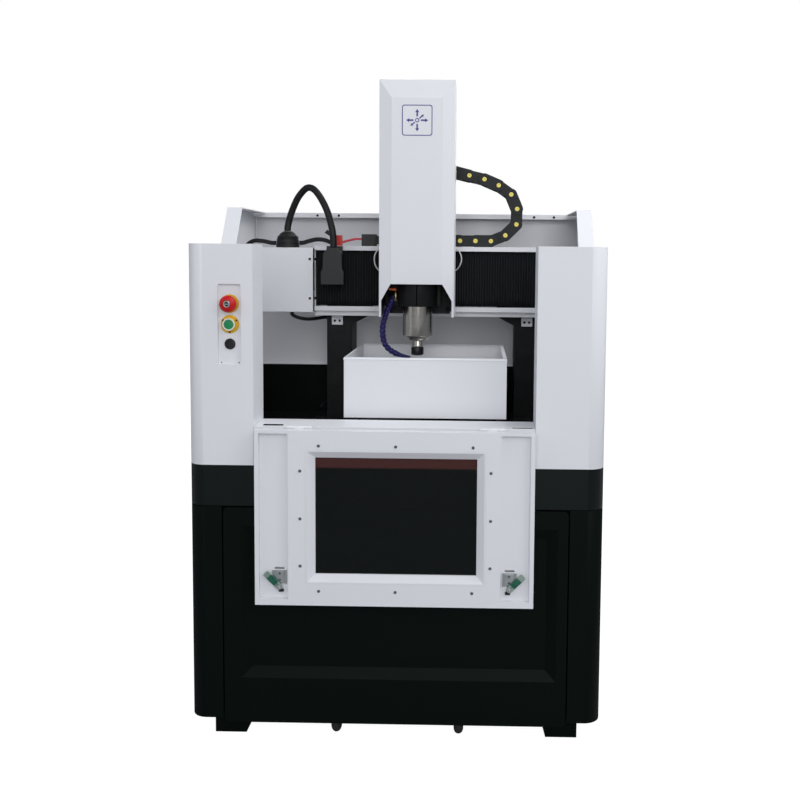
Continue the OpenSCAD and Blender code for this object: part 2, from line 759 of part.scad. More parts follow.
module spindle_body() color("silver") placed() translate([head_x, spindle_y, 0]) rotate_extrude() {
    r = spindle_d / 2;
    b = shaft_r + shaft_gap;
    z0 = spindle_bottom;
    polygon([[b, z0], [26, z0], [30, z0 + 5], [r - 2, z0 + 11], [r, z0 + 13], [r, 1230], [0, 1230],
        [0, 1062], [b, 1062]]);
}

module coolant_hose() color([0.2, 0.2, 0.55]) placed() {
    c = smooth_route(hose_route, 5);
    n = len(c);
    // Ball-and-socket beads, five rings each, tapering to the nozzle
    bead = [5.6, 7, 7.4, 7, 6.4];
    swept_tube(c, [for (i = [0 : n - 1]) i > n - 7 ? 6.2 - 0.6 * (i - n + 7) : bead[i % 5]], 10);
    // Elbow on the spindle clamp
    rod_y(-34, 360, spindle_y + 4, 1080, 6.5);
    rod_z(-34, 360, 1068, 1080, 7.5);
    translate([-34, 360, 1080]) sphere(7.5);
}

// ---------- spindle rotor ----------

module spindle_shaft() color("silver") placed() translate([head_x, spindle_y, 0]) difference() {
    union() {
        rod_z(0, 0, nut_top, 1060, shaft_r);
        rod_z(0, 0, nut_top, nut_top + 5, shaft_r + 1.5);
    }
    rod_z(0, 0, nut_top - 1, nut_top + 30, tool_d / 2 + 0.5);
}

module collet_nut() color([0.15, 0.15, 0.15]) placed()
    translate([head_x, spindle_y, nut_top - nut_h]) difference() {
        rotate_extrude() polygon([[tool_d / 2, 0], [13.5, 0], [collet_nut_r, 3], [collet_nut_r, 19],
            [15.5, nut_h], [tool_d / 2, nut_h]]);
        for (a = [0 : 60 : 300]) rotate([0, 0, a]) translate([collet_nut_r - 1.5, -2.5, -1]) cube([4, 5, 15]);
    }

// ---------- table ----------

module saddle() color([0.12, 0.12, 0.13]) placed() {
    difference() {
        union() {
            box(gantry_x - 180, gantry_x + 180, tank_y - 128, tank_y + 128, saddle_z, tank_z);
            box(gantry_x - 22, gantry_x + 22, tank_y - 25, tank_y + 25, 700, saddle_z);
        }
        rod_y(gantry_x, tank_y - 26, tank_y + 26, y_screw_z, nut_r);
    }
}

module y_blocks() color("silver") placed() {
    for (sx = [-1, 1], dy = [-90, 90]) translate([gantry_x + sx * y_rail_dx, tank_y + dy, pad_z])
        rotate([0, 0, 90]) guide_block();
}

module work_tank() color(white) placed() translate([gantry_x, tank_y, tank_z]) {
    w = tank_w;
    d = tank_d;
    difference() {
        translate([-w / 2, -d / 2, 0]) cube([w, d, tank_h]);
        translate([-w / 2 + tank_wall, -d / 2 + tank_wall, tank_floor])
            cube([w - 2 * tank_wall, d - 2 * tank_wall, tank_h]);
    }
}

module slotted_table() color("silver") placed() translate([gantry_x, tank_y, tank_z + tank_floor]) {
    half = 180;
    difference() {
        translate([-half, -half, 0]) cube([2 * half, 2 * half, table_t]);
        for (i = [-3 : 3]) translate([0, i * 50, 0]) {
            translate([-half - 1, -4, table_t - 12]) cube([2 * half + 2, 8, 13]);
            translate([-half - 1, -8, table_t - 14]) cube([2 * half + 2, 16, 7]);
        }
    }
}

// ---------- door, drawn open, hanging down ----------

channel_x0 = 252;
channel_x1 = 321;
channel_deep = 12;
frame_w = window_w + 41;
frame_h = window_h + 39;
latch_x = 274;
latch_z = door_top - 376;
lever_l = 47;

// Pocket for one side channel of the door, grown all round
module channel_block(grow) {
    z0 = door_top - door_h + 15 - grow;
    z1 = door_top - 7 + grow;
    box(channel_x0 - grow, channel_x1 + grow, door_front - 1, door_front + channel_deep + grow, z0, z1);
}

// Opening for the window frame, grown all round
module frame_block(grow, y0, depth) {
    translate([window_x, 0, window_mid]) upright(y0, depth)
        square([frame_w + 2 * grow, frame_h + 2 * grow], center = true);
}

module door_panel() color(white) placed() {
    y0 = door_front;
    y1 = door_front + door_t;
    w = door_w / 2;
    skin = 2;
    z0 = door_top - door_h;
    difference() {
        box(-w, w, y0, y1, z0, door_top);
        difference() {
            box(-w + skin, w - skin, y0 + skin, y1 - skin, z0 + skin, door_top - skin);
            // Walls left round the window and the two side channels
            frame_block(skin, y0, door_t);
            mirror_x() channel_block(skin);
        }
        frame_block(0, y0 - 1, door_t - skin + 1);
        // Rounded opening in the outer skin, a little below the frame's middle
        translate([window_x, 0, window_mid - 10]) upright(y1 - skin - 1, skin + 2)
            round_rect(window_w - 6, window_h - 20, 22);
        mirror_x() channel_block(0);
        // Strike slots above the latches
        mirror_x() box(263, 286, y0 + channel_deep - 1, y0 + channel_deep + 5, latch_z + 40, latch_z + 45);
    }
    for (x = [-hinge_x, hinge_x]) hinge_pin(x);
}

// Bevelled ring that falls from the panel's face to the pane
module window_frame() color(white) placed() translate([window_x, 0, window_mid]) difference() {
    upright(door_front, 18) square([frame_w - 0.4, frame_h - 0.4], center = true);
    hull() {
        upright(door_front - 0.01, 0.02) square([frame_w - 6, frame_h - 6], center = true);
        upright(door_front + 14, 0.02) square([window_w, window_h], center = true);
    }
    upright(door_front + 13, 6) square([window_w, window_h], center = true);
}

module door_window() color([0.45, 0.2, 0.15, 0.6]) placed() frame_block(-1, door_front + 18.2, 4);

module latch_body_form() {
    floor_y = door_front + channel_deep;
    z0 = latch_z + 6;
    z1 = latch_z + 38;
    // Channel-shaped housing with a lid, and the pivot that carries the lever
    box(latch_x - 17, latch_x + 17, floor_y - 2.5, floor_y, z0, z1);
    for (x = [latch_x - 17, latch_x + 14.5]) box(x, x + 2.5, floor_y - 6.5, floor_y, z0, z1);
    box(latch_x - 11, latch_x + 9, floor_y - 4.5, floor_y, z0 + 4, z1 - 2);
    rod_y(latch_x, door_front, floor_y, latch_z, 3.95);
    rod_y(latch_x, door_front, door_front + 1.4, latch_z, 6);
    rod_y(latch_x, door_front + 5.1, floor_y, latch_z, 6);
}

module latch_bodies() color([0.75, 0.77, 0.78]) placed() mirror_x() latch_body_form();

// Lever at 45 degrees, pointing up and outwards
module lever_form() translate([latch_x, door_front + 1.6, latch_z]) rotate([0, -45, 0]) difference() {
    union() {
        rod_y(0, 0, 3.2, 0, 7.5);
        upright(0, 3.2) polygon([[0, -7.5], [lever_l - 2, -7.5], [lever_l, -5.5], [lever_l, 5.5],
            [lever_l - 2, 7.5], [0, 7.5]]);
    }
    rod_y(0, -1, 5, 0, 4);
}

module latch_lever_right() color([0.25, 0.5, 0.4]) placed() lever_form();
module latch_lever_left() color([0.25, 0.5, 0.4]) placed() mirror([1, 0, 0]) lever_form();

// ---------- drive screws ----------

module x_screw() color("silver") placed() rod_x(beam_x0 + 1, beam_x1 - 1, x_screw_y, x_screw_z, screw_r);
module y_screw() color("silver") placed() rod_y(gantry_x, column_d + 1, 699, y_screw_z, screw_r);
module z_screw() color("silver") placed() rod_z(head_x, z_screw_y, 1042, 1559, screw_r);

// ---------- casters ----------

wheel_w = 24;
wheel_z = caster_d / 2 + 0.5;
swivel_y = 64;
wheel_y = 46;
rear_y = 676;

// One cheek of a fork beside the wheel, on side sx
module fork_cheek(x, sx, y0, y1, z0, z1) {
    mid = x + sx * (wheel_w / 2 + 2.5);
    box(mid - 1.5, mid + 1.5, y0, y1, z0, z1);
}

module wheel(x, y, hub_r) translate([x, y, wheel_z]) rotate([0, 90, 0]) difference() {
    union() {
        translate([0, 0, -wheel_w / 2 + 2]) cylinder(r = caster_d / 2, h = wheel_w - 4);
        translate([0, 0, -wheel_w / 2]) cylinder(r = caster_d / 2 - 3, h = wheel_w);
    }
    if (hub_r > 0) translate([0, 0, -wheel_w]) cylinder(r = hub_r, h = 2 * wheel_w);
}

module swivel_fork(x) {
    half = wheel_w / 2 + 4;
    rod_z(x, swivel_y, 70, 83.7, 22);
    rod_z(x, swivel_y, 83.7, 100, 6);
    box(x - half, x + half, wheel_y - 8, swivel_y + 16, 67, 70);
    for (sx = [-1, 1]) fork_cheek(x, sx, wheel_y - 8, wheel_y + 12, wheel_z - 8, 67);
    rod_x(x - half, x + half, wheel_y, wheel_z, 4);
}

module front_left_fork() color("silver") placed() swivel_fork(caster_mid - caster_x);
module front_right_fork() color("silver") placed() swivel_fork(caster_mid + caster_x);
module front_left_wheel() color(black) placed() wheel(caster_mid - caster_x, wheel_y, 4.05);
module front_right_wheel() color(black) placed() wheel(caster_mid + caster_x, wheel_y, 4.05);

module fixed_fork(x) {
    difference() {
        union() {
            box(x - 30, x + 30, rear_y - 24, rear_y + 24, 84, 88);
            for (sx = [-1, 1]) fork_cheek(x, sx, rear_y - 14, rear_y + 14, wheel_z - 12, 84);
        }
        rod_x(x - 40, x + 40, rear_y, wheel_z, 6.06);
    }
}

module rear_caster_forks() color("silver") placed() for (sx = [-1, 1]) fixed_fork(caster_mid + sx * caster_x);

module rear_wheel(x) {
    wheel(x, rear_y, 0);
    rod_x(x - 18, x + 18, rear_y, wheel_z, 6);
}

module rear_left_wheel() color(black) placed() rear_wheel(caster_mid - caster_x);
module rear_right_wheel() color(black) placed() rear_wheel(caster_mid + caster_x);

stand_frame();
machine_bed();
gantry_legs();
gantry_beam();
left_side_panel();
right_side_panel();
front_access_panel();
rear_panel();
left_column();
right_column();
front_sill();
left_hood_wall();
right_hood_wall();
rear_hood_wall();
linear_rails();
axis_motors();
beam_end_cover();
bellows_channels();
bellows_left();
bellows_right();
control_plate();
legend_rings();
cable_connectors();
leads();
drag_chain();
rear_caster_forks();
z_backplate();
x_blocks();
z_rails();
z_motor();
lube_tubes();
head_cover();
spindle_mount();
z_blocks();
spindle_body();
coolant_hose();
spindle_shaft();
collet_nut();
saddle();
y_blocks();
work_tank();
slotted_table();
door_panel();
window_frame();
door_window();
latch_bodies();
latch_lever_left();
latch_lever_right();
estop_plunger();
estop_head();
start_button();
x_screw();
y_screw();
z_screw();
front_left_fork();
front_left_wheel();
front_right_fork();
front_right_wheel();
rear_left_wheel();
rear_right_wheel();
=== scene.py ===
"""Enclosed gantry milling machine: the finishes and the fine pieces round its construction model."""

import json
import math

import bpy
import numpy as np
from mathutils import Matrix, Vector


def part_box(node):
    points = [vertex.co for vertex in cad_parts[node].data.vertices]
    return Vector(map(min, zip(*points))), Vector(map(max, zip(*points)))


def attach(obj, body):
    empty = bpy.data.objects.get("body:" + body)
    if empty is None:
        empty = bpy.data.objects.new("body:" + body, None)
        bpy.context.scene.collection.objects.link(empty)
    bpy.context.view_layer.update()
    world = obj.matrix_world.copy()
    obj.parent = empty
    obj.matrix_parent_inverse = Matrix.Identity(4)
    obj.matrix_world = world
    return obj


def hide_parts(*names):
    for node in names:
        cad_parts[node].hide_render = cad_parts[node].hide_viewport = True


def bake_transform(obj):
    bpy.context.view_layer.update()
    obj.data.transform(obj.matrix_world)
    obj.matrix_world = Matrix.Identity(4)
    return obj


bl_info = {
    "name": "Gantry milling machine",
    "version": (1, 0, 0),
    "blender": (4, 5, 0),
    "location": "3D View > Sidebar > Mill",
    "description": "Finishes, screws, bellows, drag chain and leads of an enclosed milling machine",
    "category": "Object",
}

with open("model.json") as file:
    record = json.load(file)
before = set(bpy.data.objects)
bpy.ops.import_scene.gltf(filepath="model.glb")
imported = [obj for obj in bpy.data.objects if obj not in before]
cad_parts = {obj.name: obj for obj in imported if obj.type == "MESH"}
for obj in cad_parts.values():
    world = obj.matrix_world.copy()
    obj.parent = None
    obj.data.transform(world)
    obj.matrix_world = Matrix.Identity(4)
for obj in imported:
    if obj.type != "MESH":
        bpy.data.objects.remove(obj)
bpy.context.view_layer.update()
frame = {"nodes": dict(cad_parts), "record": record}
NODES = frame["nodes"]
BODY_OF = {node: body for body, nodes in frame["record"]["behaviour"]["bodies"].items() for node in nodes}


class Span:
    """Lowest corner, highest corner, middle and size of a CAD node, in metres."""

    def __init__(self, node):
        low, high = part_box(node)
        self.low, self.high = np.array(low), np.array(high)
        self.mid = (self.low + self.high) / 2
        self.size = self.high - self.low


# ---------- shader expressions ----------


class Value:
    """A number socket. Sums, products and comparisons of it add Math nodes to its material."""

    def __init__(self, finish, socket):
        self.finish, self.socket = finish, socket

    def math(self, operation, *others, clamp=False):
        """This value and the others through one Math node."""
        values = dict(enumerate((self, *others)))
        node = self.finish.node("Math", {"operation": operation, "use_clamp": clamp}, values)
        return Value(self.finish, node.outputs[0])

    def swapped(self, operation, other):
        """A number and this value through one Math node, the number first."""
        node = self.finish.node("Math", {"operation": operation}, {0: other, 1: self})
        return Value(self.finish, node.outputs[0])

    def __add__(self, other):
        return self.math("ADD", other)

    def __sub__(self, other):
        return self.math("SUBTRACT", other)

    def __mul__(self, other):
        return self.math("MULTIPLY", other)

    def __truediv__(self, other):
        return self.math("DIVIDE", other)

    def __gt__(self, other):
        return self.math("GREATER_THAN", other)

    def __lt__(self, other):
        return self.math("LESS_THAN", other)

    def __radd__(self, other):
        return self.math("ADD", other)

    def __rsub__(self, other):
        return self.swapped("SUBTRACT", other)


class Finish:
    """One material: a Principled shader and what feeds it."""

    def __init__(self, name):
        self.material = bpy.data.materials.new(name)
        self.material.use_nodes = True
        self.tree = self.material.node_tree
        self.shader = self.tree.nodes["Principled BSDF"]
        self.output = self.tree.nodes["Material Output"]

    def node(self, kind, settings=None, sockets=None):
        """Adds one node: its settings first, then a value or a link for each socket named."""
        made = self.tree.nodes.new("ShaderNode" + kind)
        for key, value in (settings or {}).items():
            setattr(made, key, value)
        for key, value in (sockets or {}).items():
            self.feed(made.inputs[key], value)
        return made

    def feed(self, socket, value):
        """Links a value or a node's output to a socket, or sets the socket's own number."""
        if isinstance(value, Value):
            value = value.socket
        if isinstance(value, bpy.types.NodeSocket):
            self.tree.links.new(value, socket)
        else:
            socket.default_value = value

    def set(self, **sockets):
        """Feeds the shader's sockets, named with underscores for spaces."""
        for key, value in sockets.items():
            self.feed(self.shader.inputs[key.replace("_", " ")], value)

    def point(self, scale=(1, 1, 1)):
        """The Object coordinates, stretched by scale."""
        place = self.node("TexCoord").outputs["Object"]
        return self.node("Mapping", {}, {"Vector": place, "Scale": scale}).outputs["Vector"]

    def axes(self):
        """The three Object coordinates as values, in metres."""
        place = self.node("TexCoord").outputs["Object"]
        parts = self.node("SeparateXYZ", {}, {0: place})
        return [Value(self, parts.outputs[i]) for i in range(3)]

    def noise(self, scale, detail=3.0, stretch=(1, 1, 1), roughness=0.5):
        """Noise of about 0 to 1, scale waves to the metre."""
        sockets = {"Vector": self.point(stretch), "Scale": scale, "Detail": detail, "Roughness": roughness}
        return Value(self, self.node("TexNoise", {}, sockets).outputs[0])

    def mixed(self, factor, first, second):
        """Two colours mixed by a factor."""
        colours = {0: factor, 6: first, 7: second}
        return self.node("Mix", {"data_type": "RGBA"}, colours).outputs[2]

    def bumped(self, height, distance, strength=1.0):
        """A height from 0 to 1, distance metres deep, as a normal."""
        sockets = {"Height": height, "Distance": distance, "Strength": strength}
        return self.node("Bump", {}, sockets).outputs["Normal"]


def rgb(*parts):
    """An sRGB colour of 0 to 255 as a linear colour."""
    return tuple(((p / 255 + 0.055) / 1.055) ** 2.4 if p > 10 else p / 255 / 12.92 for p in parts) + (1.0,)


def blended(first, second, share):
    """The first colour, moved towards the second by a share of 0 to 1."""
    return tuple(a + (b - a) * share for a, b in zip(first, second))


# ---------- finishes ----------


BLACK = (0, 0, 0, 1)


def powder_coat(name, colour, roughness, gloss=0.4, second=None, where=None):
    """Fine orange-peel coat. A second colour, if any, covers the part that where(x, y, z) picks."""
    f = Finish(name)
    peel = f.noise(420, 2.0)
    cloud = f.noise(2.2, 2.0)
    shade = f.mixed(cloud, blended(colour, BLACK, 0.03), colour)
    if where:
        picked = where(*f.axes())
        shade = f.mixed(picked, shade, second)
    f.set(Base_Color=shade, Roughness=roughness + (cloud - 0.5) * 0.05, Specular_IOR_Level=gloss)
    f.set(Normal=f.bumped(peel, 0.00005, 0.35))
    return f.material


def between(value, low, high):
    """1 where a value lies between two numbers, else 0."""
    return (value > low) * (value < high)


def enamel(name, colour, roughness, gloss=0.25):
    """Thick enamel over a casting: low rolling waves, and a little dust lying in them."""
    f = Finish(name)
    waves = f.noise(28, 4.0)
    grain = f.noise(300, 2.0)
    shade = f.mixed(waves, colour, blended(colour, (0.3, 0.3, 0.3, 1), 0.05))
    normal = f.bumped(waves + grain * 0.15, 0.0004, 0.4)
    f.set(Base_Color=shade, Roughness=roughness + waves * 0.12, Normal=normal, Specular_IOR_Level=gloss)
    return f.material


def ground_steel(name, colour, roughness, stretch):
    """Metal with fine lines. stretch is small along the lines and large across them."""
    f = Finish(name)
    lines = f.noise(60, 5.0, stretch, 0.7)
    tone = f.noise(6, 2.0)
    shade = f.mixed(lines, blended(colour, BLACK, 0.18), colour)
    f.set(Base_Color=shade, Metallic=1.0, Roughness=roughness + lines * 0.12 + tone * 0.06)
    f.set(Normal=f.bumped(lines, 0.00004, 0.5))
    return f.material


def spindle_skin(clamp_low):
    """Ground steel below the clamp. Above the clamp's lower edge it is painted near black, as painted shade
    in the slit between the clamp and the spindle.
    """
    f = Finish("spindle_skin")
    clamp_slit_shade = f.axes()[2] > clamp_low
    lines = f.noise(60, 5.0, (0.2, 0.2, 14), 0.7)
    shade = f.mixed(lines, rgb(176, 173, 164), rgb(212, 209, 199))
    # painted shade: the steel turns near black above the clamp's lower edge
    f.set(Base_Color=f.mixed(clamp_slit_shade, shade, rgb(14, 15, 17)), Metallic=1.0)
    f.set(Roughness=0.18 + lines * 0.14 + clamp_slit_shade * 0.3, Normal=f.bumped(lines, 0.00004, 0.5))
    return f.material


def zinc_plate(name, colour, tint):
    """Bright plating whose colour drifts in soft patches."""
    f = Finish(name)
    patches = f.noise(70, 4.0)
    grain = f.noise(900, 2.0)
    shade = f.mixed(patches, colour, tint)
    f.set(Base_Color=shade, Metallic=0.9, Roughness=0.28 + patches * 0.2)
    f.set(Normal=f.bumped(grain, 0.00003, 0.4))
    return f.material


def threaded_steel(name, axis, lead, mid):
    """Ground screw: a round groove winds once round it in each lead. Its troughs are painted darker than its
    crests, as painted shade.
    """
    f = Finish(name)
    parts = f.axes()
    across = [parts[i] - mid[i] for i in range(3) if i != axis]
    turn = across[1].math("ARCTAN2", across[0]) / (2 * math.pi)
    phase = parts[axis] / lead + turn
    wave = (phase * (2 * math.pi)).math("SINE") * 0.5 + 0.5
    groove = wave.math("POWER", 2.0)
    # painted shade: darker colour in the thread's troughs
    f.set(Base_Color=f.mixed(groove, rgb(120, 122, 126), rgb(205, 207, 210)), Metallic=1.0)
    f.set(Roughness=0.34 - groove * 0.12, Normal=f.bumped(groove, 0.0012, 1.0))
    return f.material


def moulded(name, colour, roughness, grain_depth=0.00006, coat=0.0, gloss=0.5):
    """Moulded plastic with a fine spark-eroded grain."""
    f = Finish(name)
    grain = f.noise(1100, 2.0)
    cloud = f.noise(30, 2.0)
    shade = f.mixed(cloud, blended(colour, BLACK, 0.12), colour)
    f.set(Base_Color=shade, Roughness=roughness + cloud * 0.08, Coat_Weight=coat, Specular_IOR_Level=gloss)
    f.set(Normal=f.bumped(grain, grain_depth, 0.5))
    return f.material


def lever_plating(name, pivot, side):
    """Green chromate on a lever. Seen along it, the pivot is pale, the middle deep and the tip worn."""
    f = Finish(name)
    x, _, z = f.axes()
    along = ((x - pivot[0]) * side + (z - pivot[1])) * math.sqrt(0.5)
    drift = f.noise(90, 3.0)
    deep = between(along + drift * 0.004, 0.012, 0.036)
    shade = f.mixed(drift, rgb(120, 148, 134), rgb(178, 196, 184))
    f.set(Base_Color=f.mixed(deep, shade, f.mixed(drift, rgb(30, 96, 76), rgb(66, 134, 110))))
    f.set(Metallic=0.6, Roughness=0.3 + drift * 0.2)
    return f.material


def connector_plastic(red_plug):
    """Black mouldings, with one red plug inside the box of red_plug."""
    f = Finish("connector_plastic")
    mask = 1.0
    for value, low, high in zip(f.axes(), *red_plug):
        mask = between(value, low, high) * mask
    grain = f.noise(900, 2.0)
    f.set(Base_Color=f.mixed(mask, rgb(21, 24, 26), rgb(205, 45, 32)), Roughness=0.46 - mask * 0.08)
    f.set(Normal=f.bumped(grain, 0.00006, 0.5))
    return f.material


def pleated_cloth():
    """Coated cloth: a fine weave under a dull black skin."""
    f = Finish("pleated_cloth")
    x, _, z = f.axes()
    threads = 5200
    weave = (x * threads).math("SINE") * (z * threads).math("SINE")
    dust = f.noise(25, 3.0)
    f.set(Base_Color=f.mixed(dust, rgb(28, 32, 35), rgb(35, 39, 42)), Roughness=0.66 + dust * 0.15)
    f.set(Normal=f.bumped(weave * 0.5 + 0.5, 0.00005, 0.5), Specular_IOR_Level=0.2)
    return f.material


def milled_aluminium():
    """Face-milled plate: overlapping arcs left by the cutter."""
    f = Finish("milled_aluminium")
    bands = f.node("TexWave", {"wave_type": "RINGS", "rings_direction": "Z"},
                   {"Vector": f.point(), "Scale": 60.0, "Distortion": 1.5, "Detail": 2.0})
    arcs = Value(f, bands.outputs[1])
    tone = f.noise(9, 3.0)
    f.set(Base_Color=f.mixed(tone, rgb(176, 178, 182), rgb(206, 208, 211)), Metallic=1.0)
    f.set(Roughness=0.3 + arcs * 0.14, Normal=f.bumped(arcs, 0.00004, 0.4))
    return f.material


def tinted_pane():
    """Tinted sheet: a clear red-brown under a dark gloss. A redder band along the upper edge is painted
    light: the lit white sill behind the pane, seen through the tint.
    """
    f = Finish("tinted_pane")
    haze = f.noise(3, 2.0)
    lit_from, fade = Span("door_window").high[2] - 0.045, 0.005
    # painted light: from lit_from upwards the colour turns red-brown
    lit = ((f.axes()[2] - lit_from) / fade).math("ADD", haze * 0.3, clamp=True)
    f.set(Base_Color=f.mixed(lit * 0.8, rgb(17, 27, 24), rgb(120, 74, 68)))
    f.set(Roughness=0.06 + haze * 0.03, Specular_IOR_Level=0.5)
    tint = f.node("BsdfTransparent", {}, {"Color": (0.36, 0.20, 0.17, 1)})
    edge = Value(f, f.node("LayerWeight", {}, {"Blend": 0.25}).outputs["Facing"])
    share = 0.4 + edge * 0.4
    mix = f.node("MixShader", {}, {0: share, 1: tint.outputs[0], 2: f.shader.outputs[0]})
    f.tree.links.new(mix.outputs[0], f.output.inputs["Surface"])
    return f.material


def ring_plastic(mid, panel_front):
    """Yellow rings, with three black marks round the start button's."""
    f = Finish("ring_plastic")
    x, y, z = f.axes()
    across, up = x - mid[0], z - mid[2]
    marks = 3.0
    stripes = (up.math("ARCTAN2", across) * marks).math("SINE") > 0.93
    radius = (across * across + up * up).math("SQRT")
    on_rim = between(radius, 0.0165, 0.0205) * (y < panel_front)
    f.set(Base_Color=f.mixed(stripes * on_rim, rgb(222, 176, 30), rgb(24, 22, 18)), Roughness=0.32)
    return f.material


def tyre_rubber(name, hub_radius, axle_y, axle_z):
    """Grey-black tread with moulding rings, on a paler hub."""
    f = Finish(name)
    _, y, z = f.axes()
    along, up = y - axle_y, z - axle_z
    radius = (along * along + up * up).math("SQRT")
    rings = (radius * 2400).math("SINE") * 0.5 + 0.5
    hub = radius < hub_radius
    dust = f.noise(80, 3.0)
    tread = f.mixed(dust, rgb(26, 27, 28), rgb(58, 58, 57))
    f.set(Base_Color=f.mixed(hub, tread, rgb(96, 98, 100)), Roughness=0.62 - hub * 0.2)
    f.set(Normal=f.bumped(rings, 0.0002, 0.4))
    return f.material


# ---------- surfaces ----------


def piece(name, points, faces, material, body, smooth=True, slot=None):
    """A mesh object from an array of points and a list or array of faces, riding on a body."""
    mesh = bpy.data.meshes.new(name)
    vertices = np.asarray(points, float).reshape(-1, 3).tolist()
    mesh.from_pydata(vertices, [], [list(map(int, face)) for face in faces])
    mesh.polygons.foreach_set("use_smooth", np.full(len(mesh.polygons), smooth))
    mesh.update()
    made = bpy.data.objects.new(name, mesh)
    bpy.context.scene.collection.objects.link(made)
    made.data.materials.append(material)
    if body:
        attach(made, body)
    return made


def sheet_faces(rows, columns, wrap_rows=False, wrap_columns=False):
    """Quads between neighbours on a grid of rows by columns, closed round either way if asked."""
    r = np.arange(rows if wrap_rows else rows - 1)
    c = np.arange(columns if wrap_columns else columns - 1)
    r, c = np.meshgrid(r, c, indexing="ij")
    up, right = (r + 1) % rows, (c + 1) % columns
    quads = np.stack([r * columns + c, r * columns + right, up * columns + right, up * columns + c], -1)
    return quads.reshape(-1, 4)


def tube_faces(rings, sides):
    """The skin of a tube of rings with so many sides, its two ends closed by n-gons."""
    faces = [list(quad) for quad in sheet_faces(rings, sides, wrap_columns=True)]
    faces.append(list(range(sides))[::-1])
    faces.append([(rings - 1) * sides + k for k in range(sides)])
    return faces


def joined(parts):
    """Points and faces of several parts as one."""
    points, faces, count = [], [], 0
    for p, q in parts:
        p = np.asarray(p, float).reshape(-1, 3)
        points.append(p)
        faces.extend([[int(i) + count for i in face] for face in q])
        count += len(p)
    return np.concatenate(points), faces


def turned(profile, sides=48):
    """A profile of (radius, height) carried round +Z and closed at both ends."""
    profile = np.asarray(profile, float)
    angle = np.linspace(0, 2 * np.pi, sides, endpoint=False)
    ring = np.stack([np.cos(angle), np.sin(angle)], -1)
    rounds = profile[:, None, :1] * ring[None]
    heights = np.broadcast_to(profile[:, None, 1:], (len(profile), sides, 1))
    points = np.concatenate([rounds, heights], -1)
    return points.reshape(-1, 3), tube_faces(len(profile), sides)


def socket_screw(radius, height):
    """Cap screw along +Z: a turned head whose inner wall is a hexagon in polar form."""
    sides = 24
    angle = np.linspace(0, 2 * np.pi, sides, endpoint=False)
    flat = radius * 0.48
    hexagon = flat / np.cos(np.mod(angle, np.pi / 3) - np.pi / 6)
    outer = np.full(sides, radius)
    rings = [(outer, 0), (outer, height * 0.82), (outer * 0.94, height)]
    rings += [(hexagon, height), (hexagon, height * 0.35)]
    points = [np.stack([r * np.cos(angle), r * np.sin(angle), np.full(sides, z)], -1) for r, z in rings]
    return np.concatenate(points), tube_faces(len(rings), sides)


def pan_screw(radius, height):
    """Domed head along +Z with a cross recess: the top dips where either arm of the cross runs."""
    sides, rings = 32, 7
    angle = np.linspace(0, 2 * np.pi, sides, endpoint=False)
    share = np.linspace(1, 0, rings)[:, None]
    r = radius * share
    x, y = r * np.cos(angle), r * np.sin(angle)
    dome = height * np.sqrt(np.clip(1 - 0.75 * share ** 2, 0, 1)) * np.ones_like(x)
    arm = radius * 0.17
    in_cross = (np.minimum(abs(x), abs(y)) < arm) & (np.hypot(x, y) < radius * 0.62)
    z = dome - np.where(in_cross, height * 0.55, 0)
    skirt = np.stack([radius * np.cos(angle), radius * np.sin(angle), np.zeros(sides)], -1)
    top = np.stack([x, y, z], -1).reshape(-1, 3)
    points = np.concatenate([skirt, top[: (rings - 1) * sides], [[0, 0, height * 0.45]]])
    faces = [list(q) for q in sheet_faces(rings, sides, wrap_columns=True)]
    last = (rings - 1) * sides
    centre = len(points) - 1
    faces += [[last + k, last + (k + 1) % sides, centre] for k in range(sides)]
    faces.append(list(range(sides))[::-1])
    return points, faces


def placed(shape, places, normal):
    """Copies of a shape made along +Z, turned to a normal and set at each place."""
    points, faces = shape
    turn = np.array(Vector((0, 0, 1)).rotation_difference(Vector(normal)).to_matrix())
    return joined([(points @ turn.T + np.asarray(p, float), faces) for p in places])


def smooth_route(points, per_span):
    """Catmull-Rom curve through points, with per_span steps between neighbours."""
    p = np.asarray(points, float)
    p = np.concatenate([p[:1], p, p[-1:]])
    t = np.linspace(0, 1, per_span, endpoint=False)[None, :, None]
    a, b, c, d = (p[i:len(p) - 3 + i][:, None] for i in range(4))
    square, cube = 2 * a - 5 * b + 4 * c - d, 3 * b - a - 3 * c + d
    curve = 0.5 * (2 * b + (c - a) * t + square * t ** 2 + cube * t ** 3)
    return np.concatenate([curve.reshape(-1, 3), p[-1:]])


def metres(route, back=0.0):
    """A route written in millimetres behind the front of the columns, shifted back, in metres."""
    return np.asarray(route, float) / 1000 + [0, Span("left_column").low[1] + back / 1000, 0]


def swept(route, radii, sides=16):
    """A round section carried along a route, turned as little as it can be from step to step."""
    route = np.asarray(route, float)
    radii = np.broadcast_to(radii, len(route))
    ahead = np.gradient(route, axis=0)
    ahead /= np.linalg.norm(ahead, axis=1, keepdims=True)
    askew = [0.13, 1.0, 0.07]
    side = np.cross(ahead[0], askew)
    angle = np.linspace(0, 2 * np.pi, sides, endpoint=False)[:, None]
    rings = []
    for place, t, r in zip(route, ahead, radii):
        side = side - t * (side @ t)
        side /= np.linalg.norm(side)
        rings.append(place + r * (np.cos(angle) * side + np.sin(angle) * np.cross(t, side)))
    return np.concatenate(rings), tube_faces(len(route), sides)


def cord(name, route, radii, material, body, slot, node, thickness=None):
    """A lead, tube or hose swept along its route. It stands for a CAD node, which it hides."""
    made = piece(name, *swept(route, radii, 16), material, body, slot=slot)
    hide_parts(node)
    thickness or 2 * radii


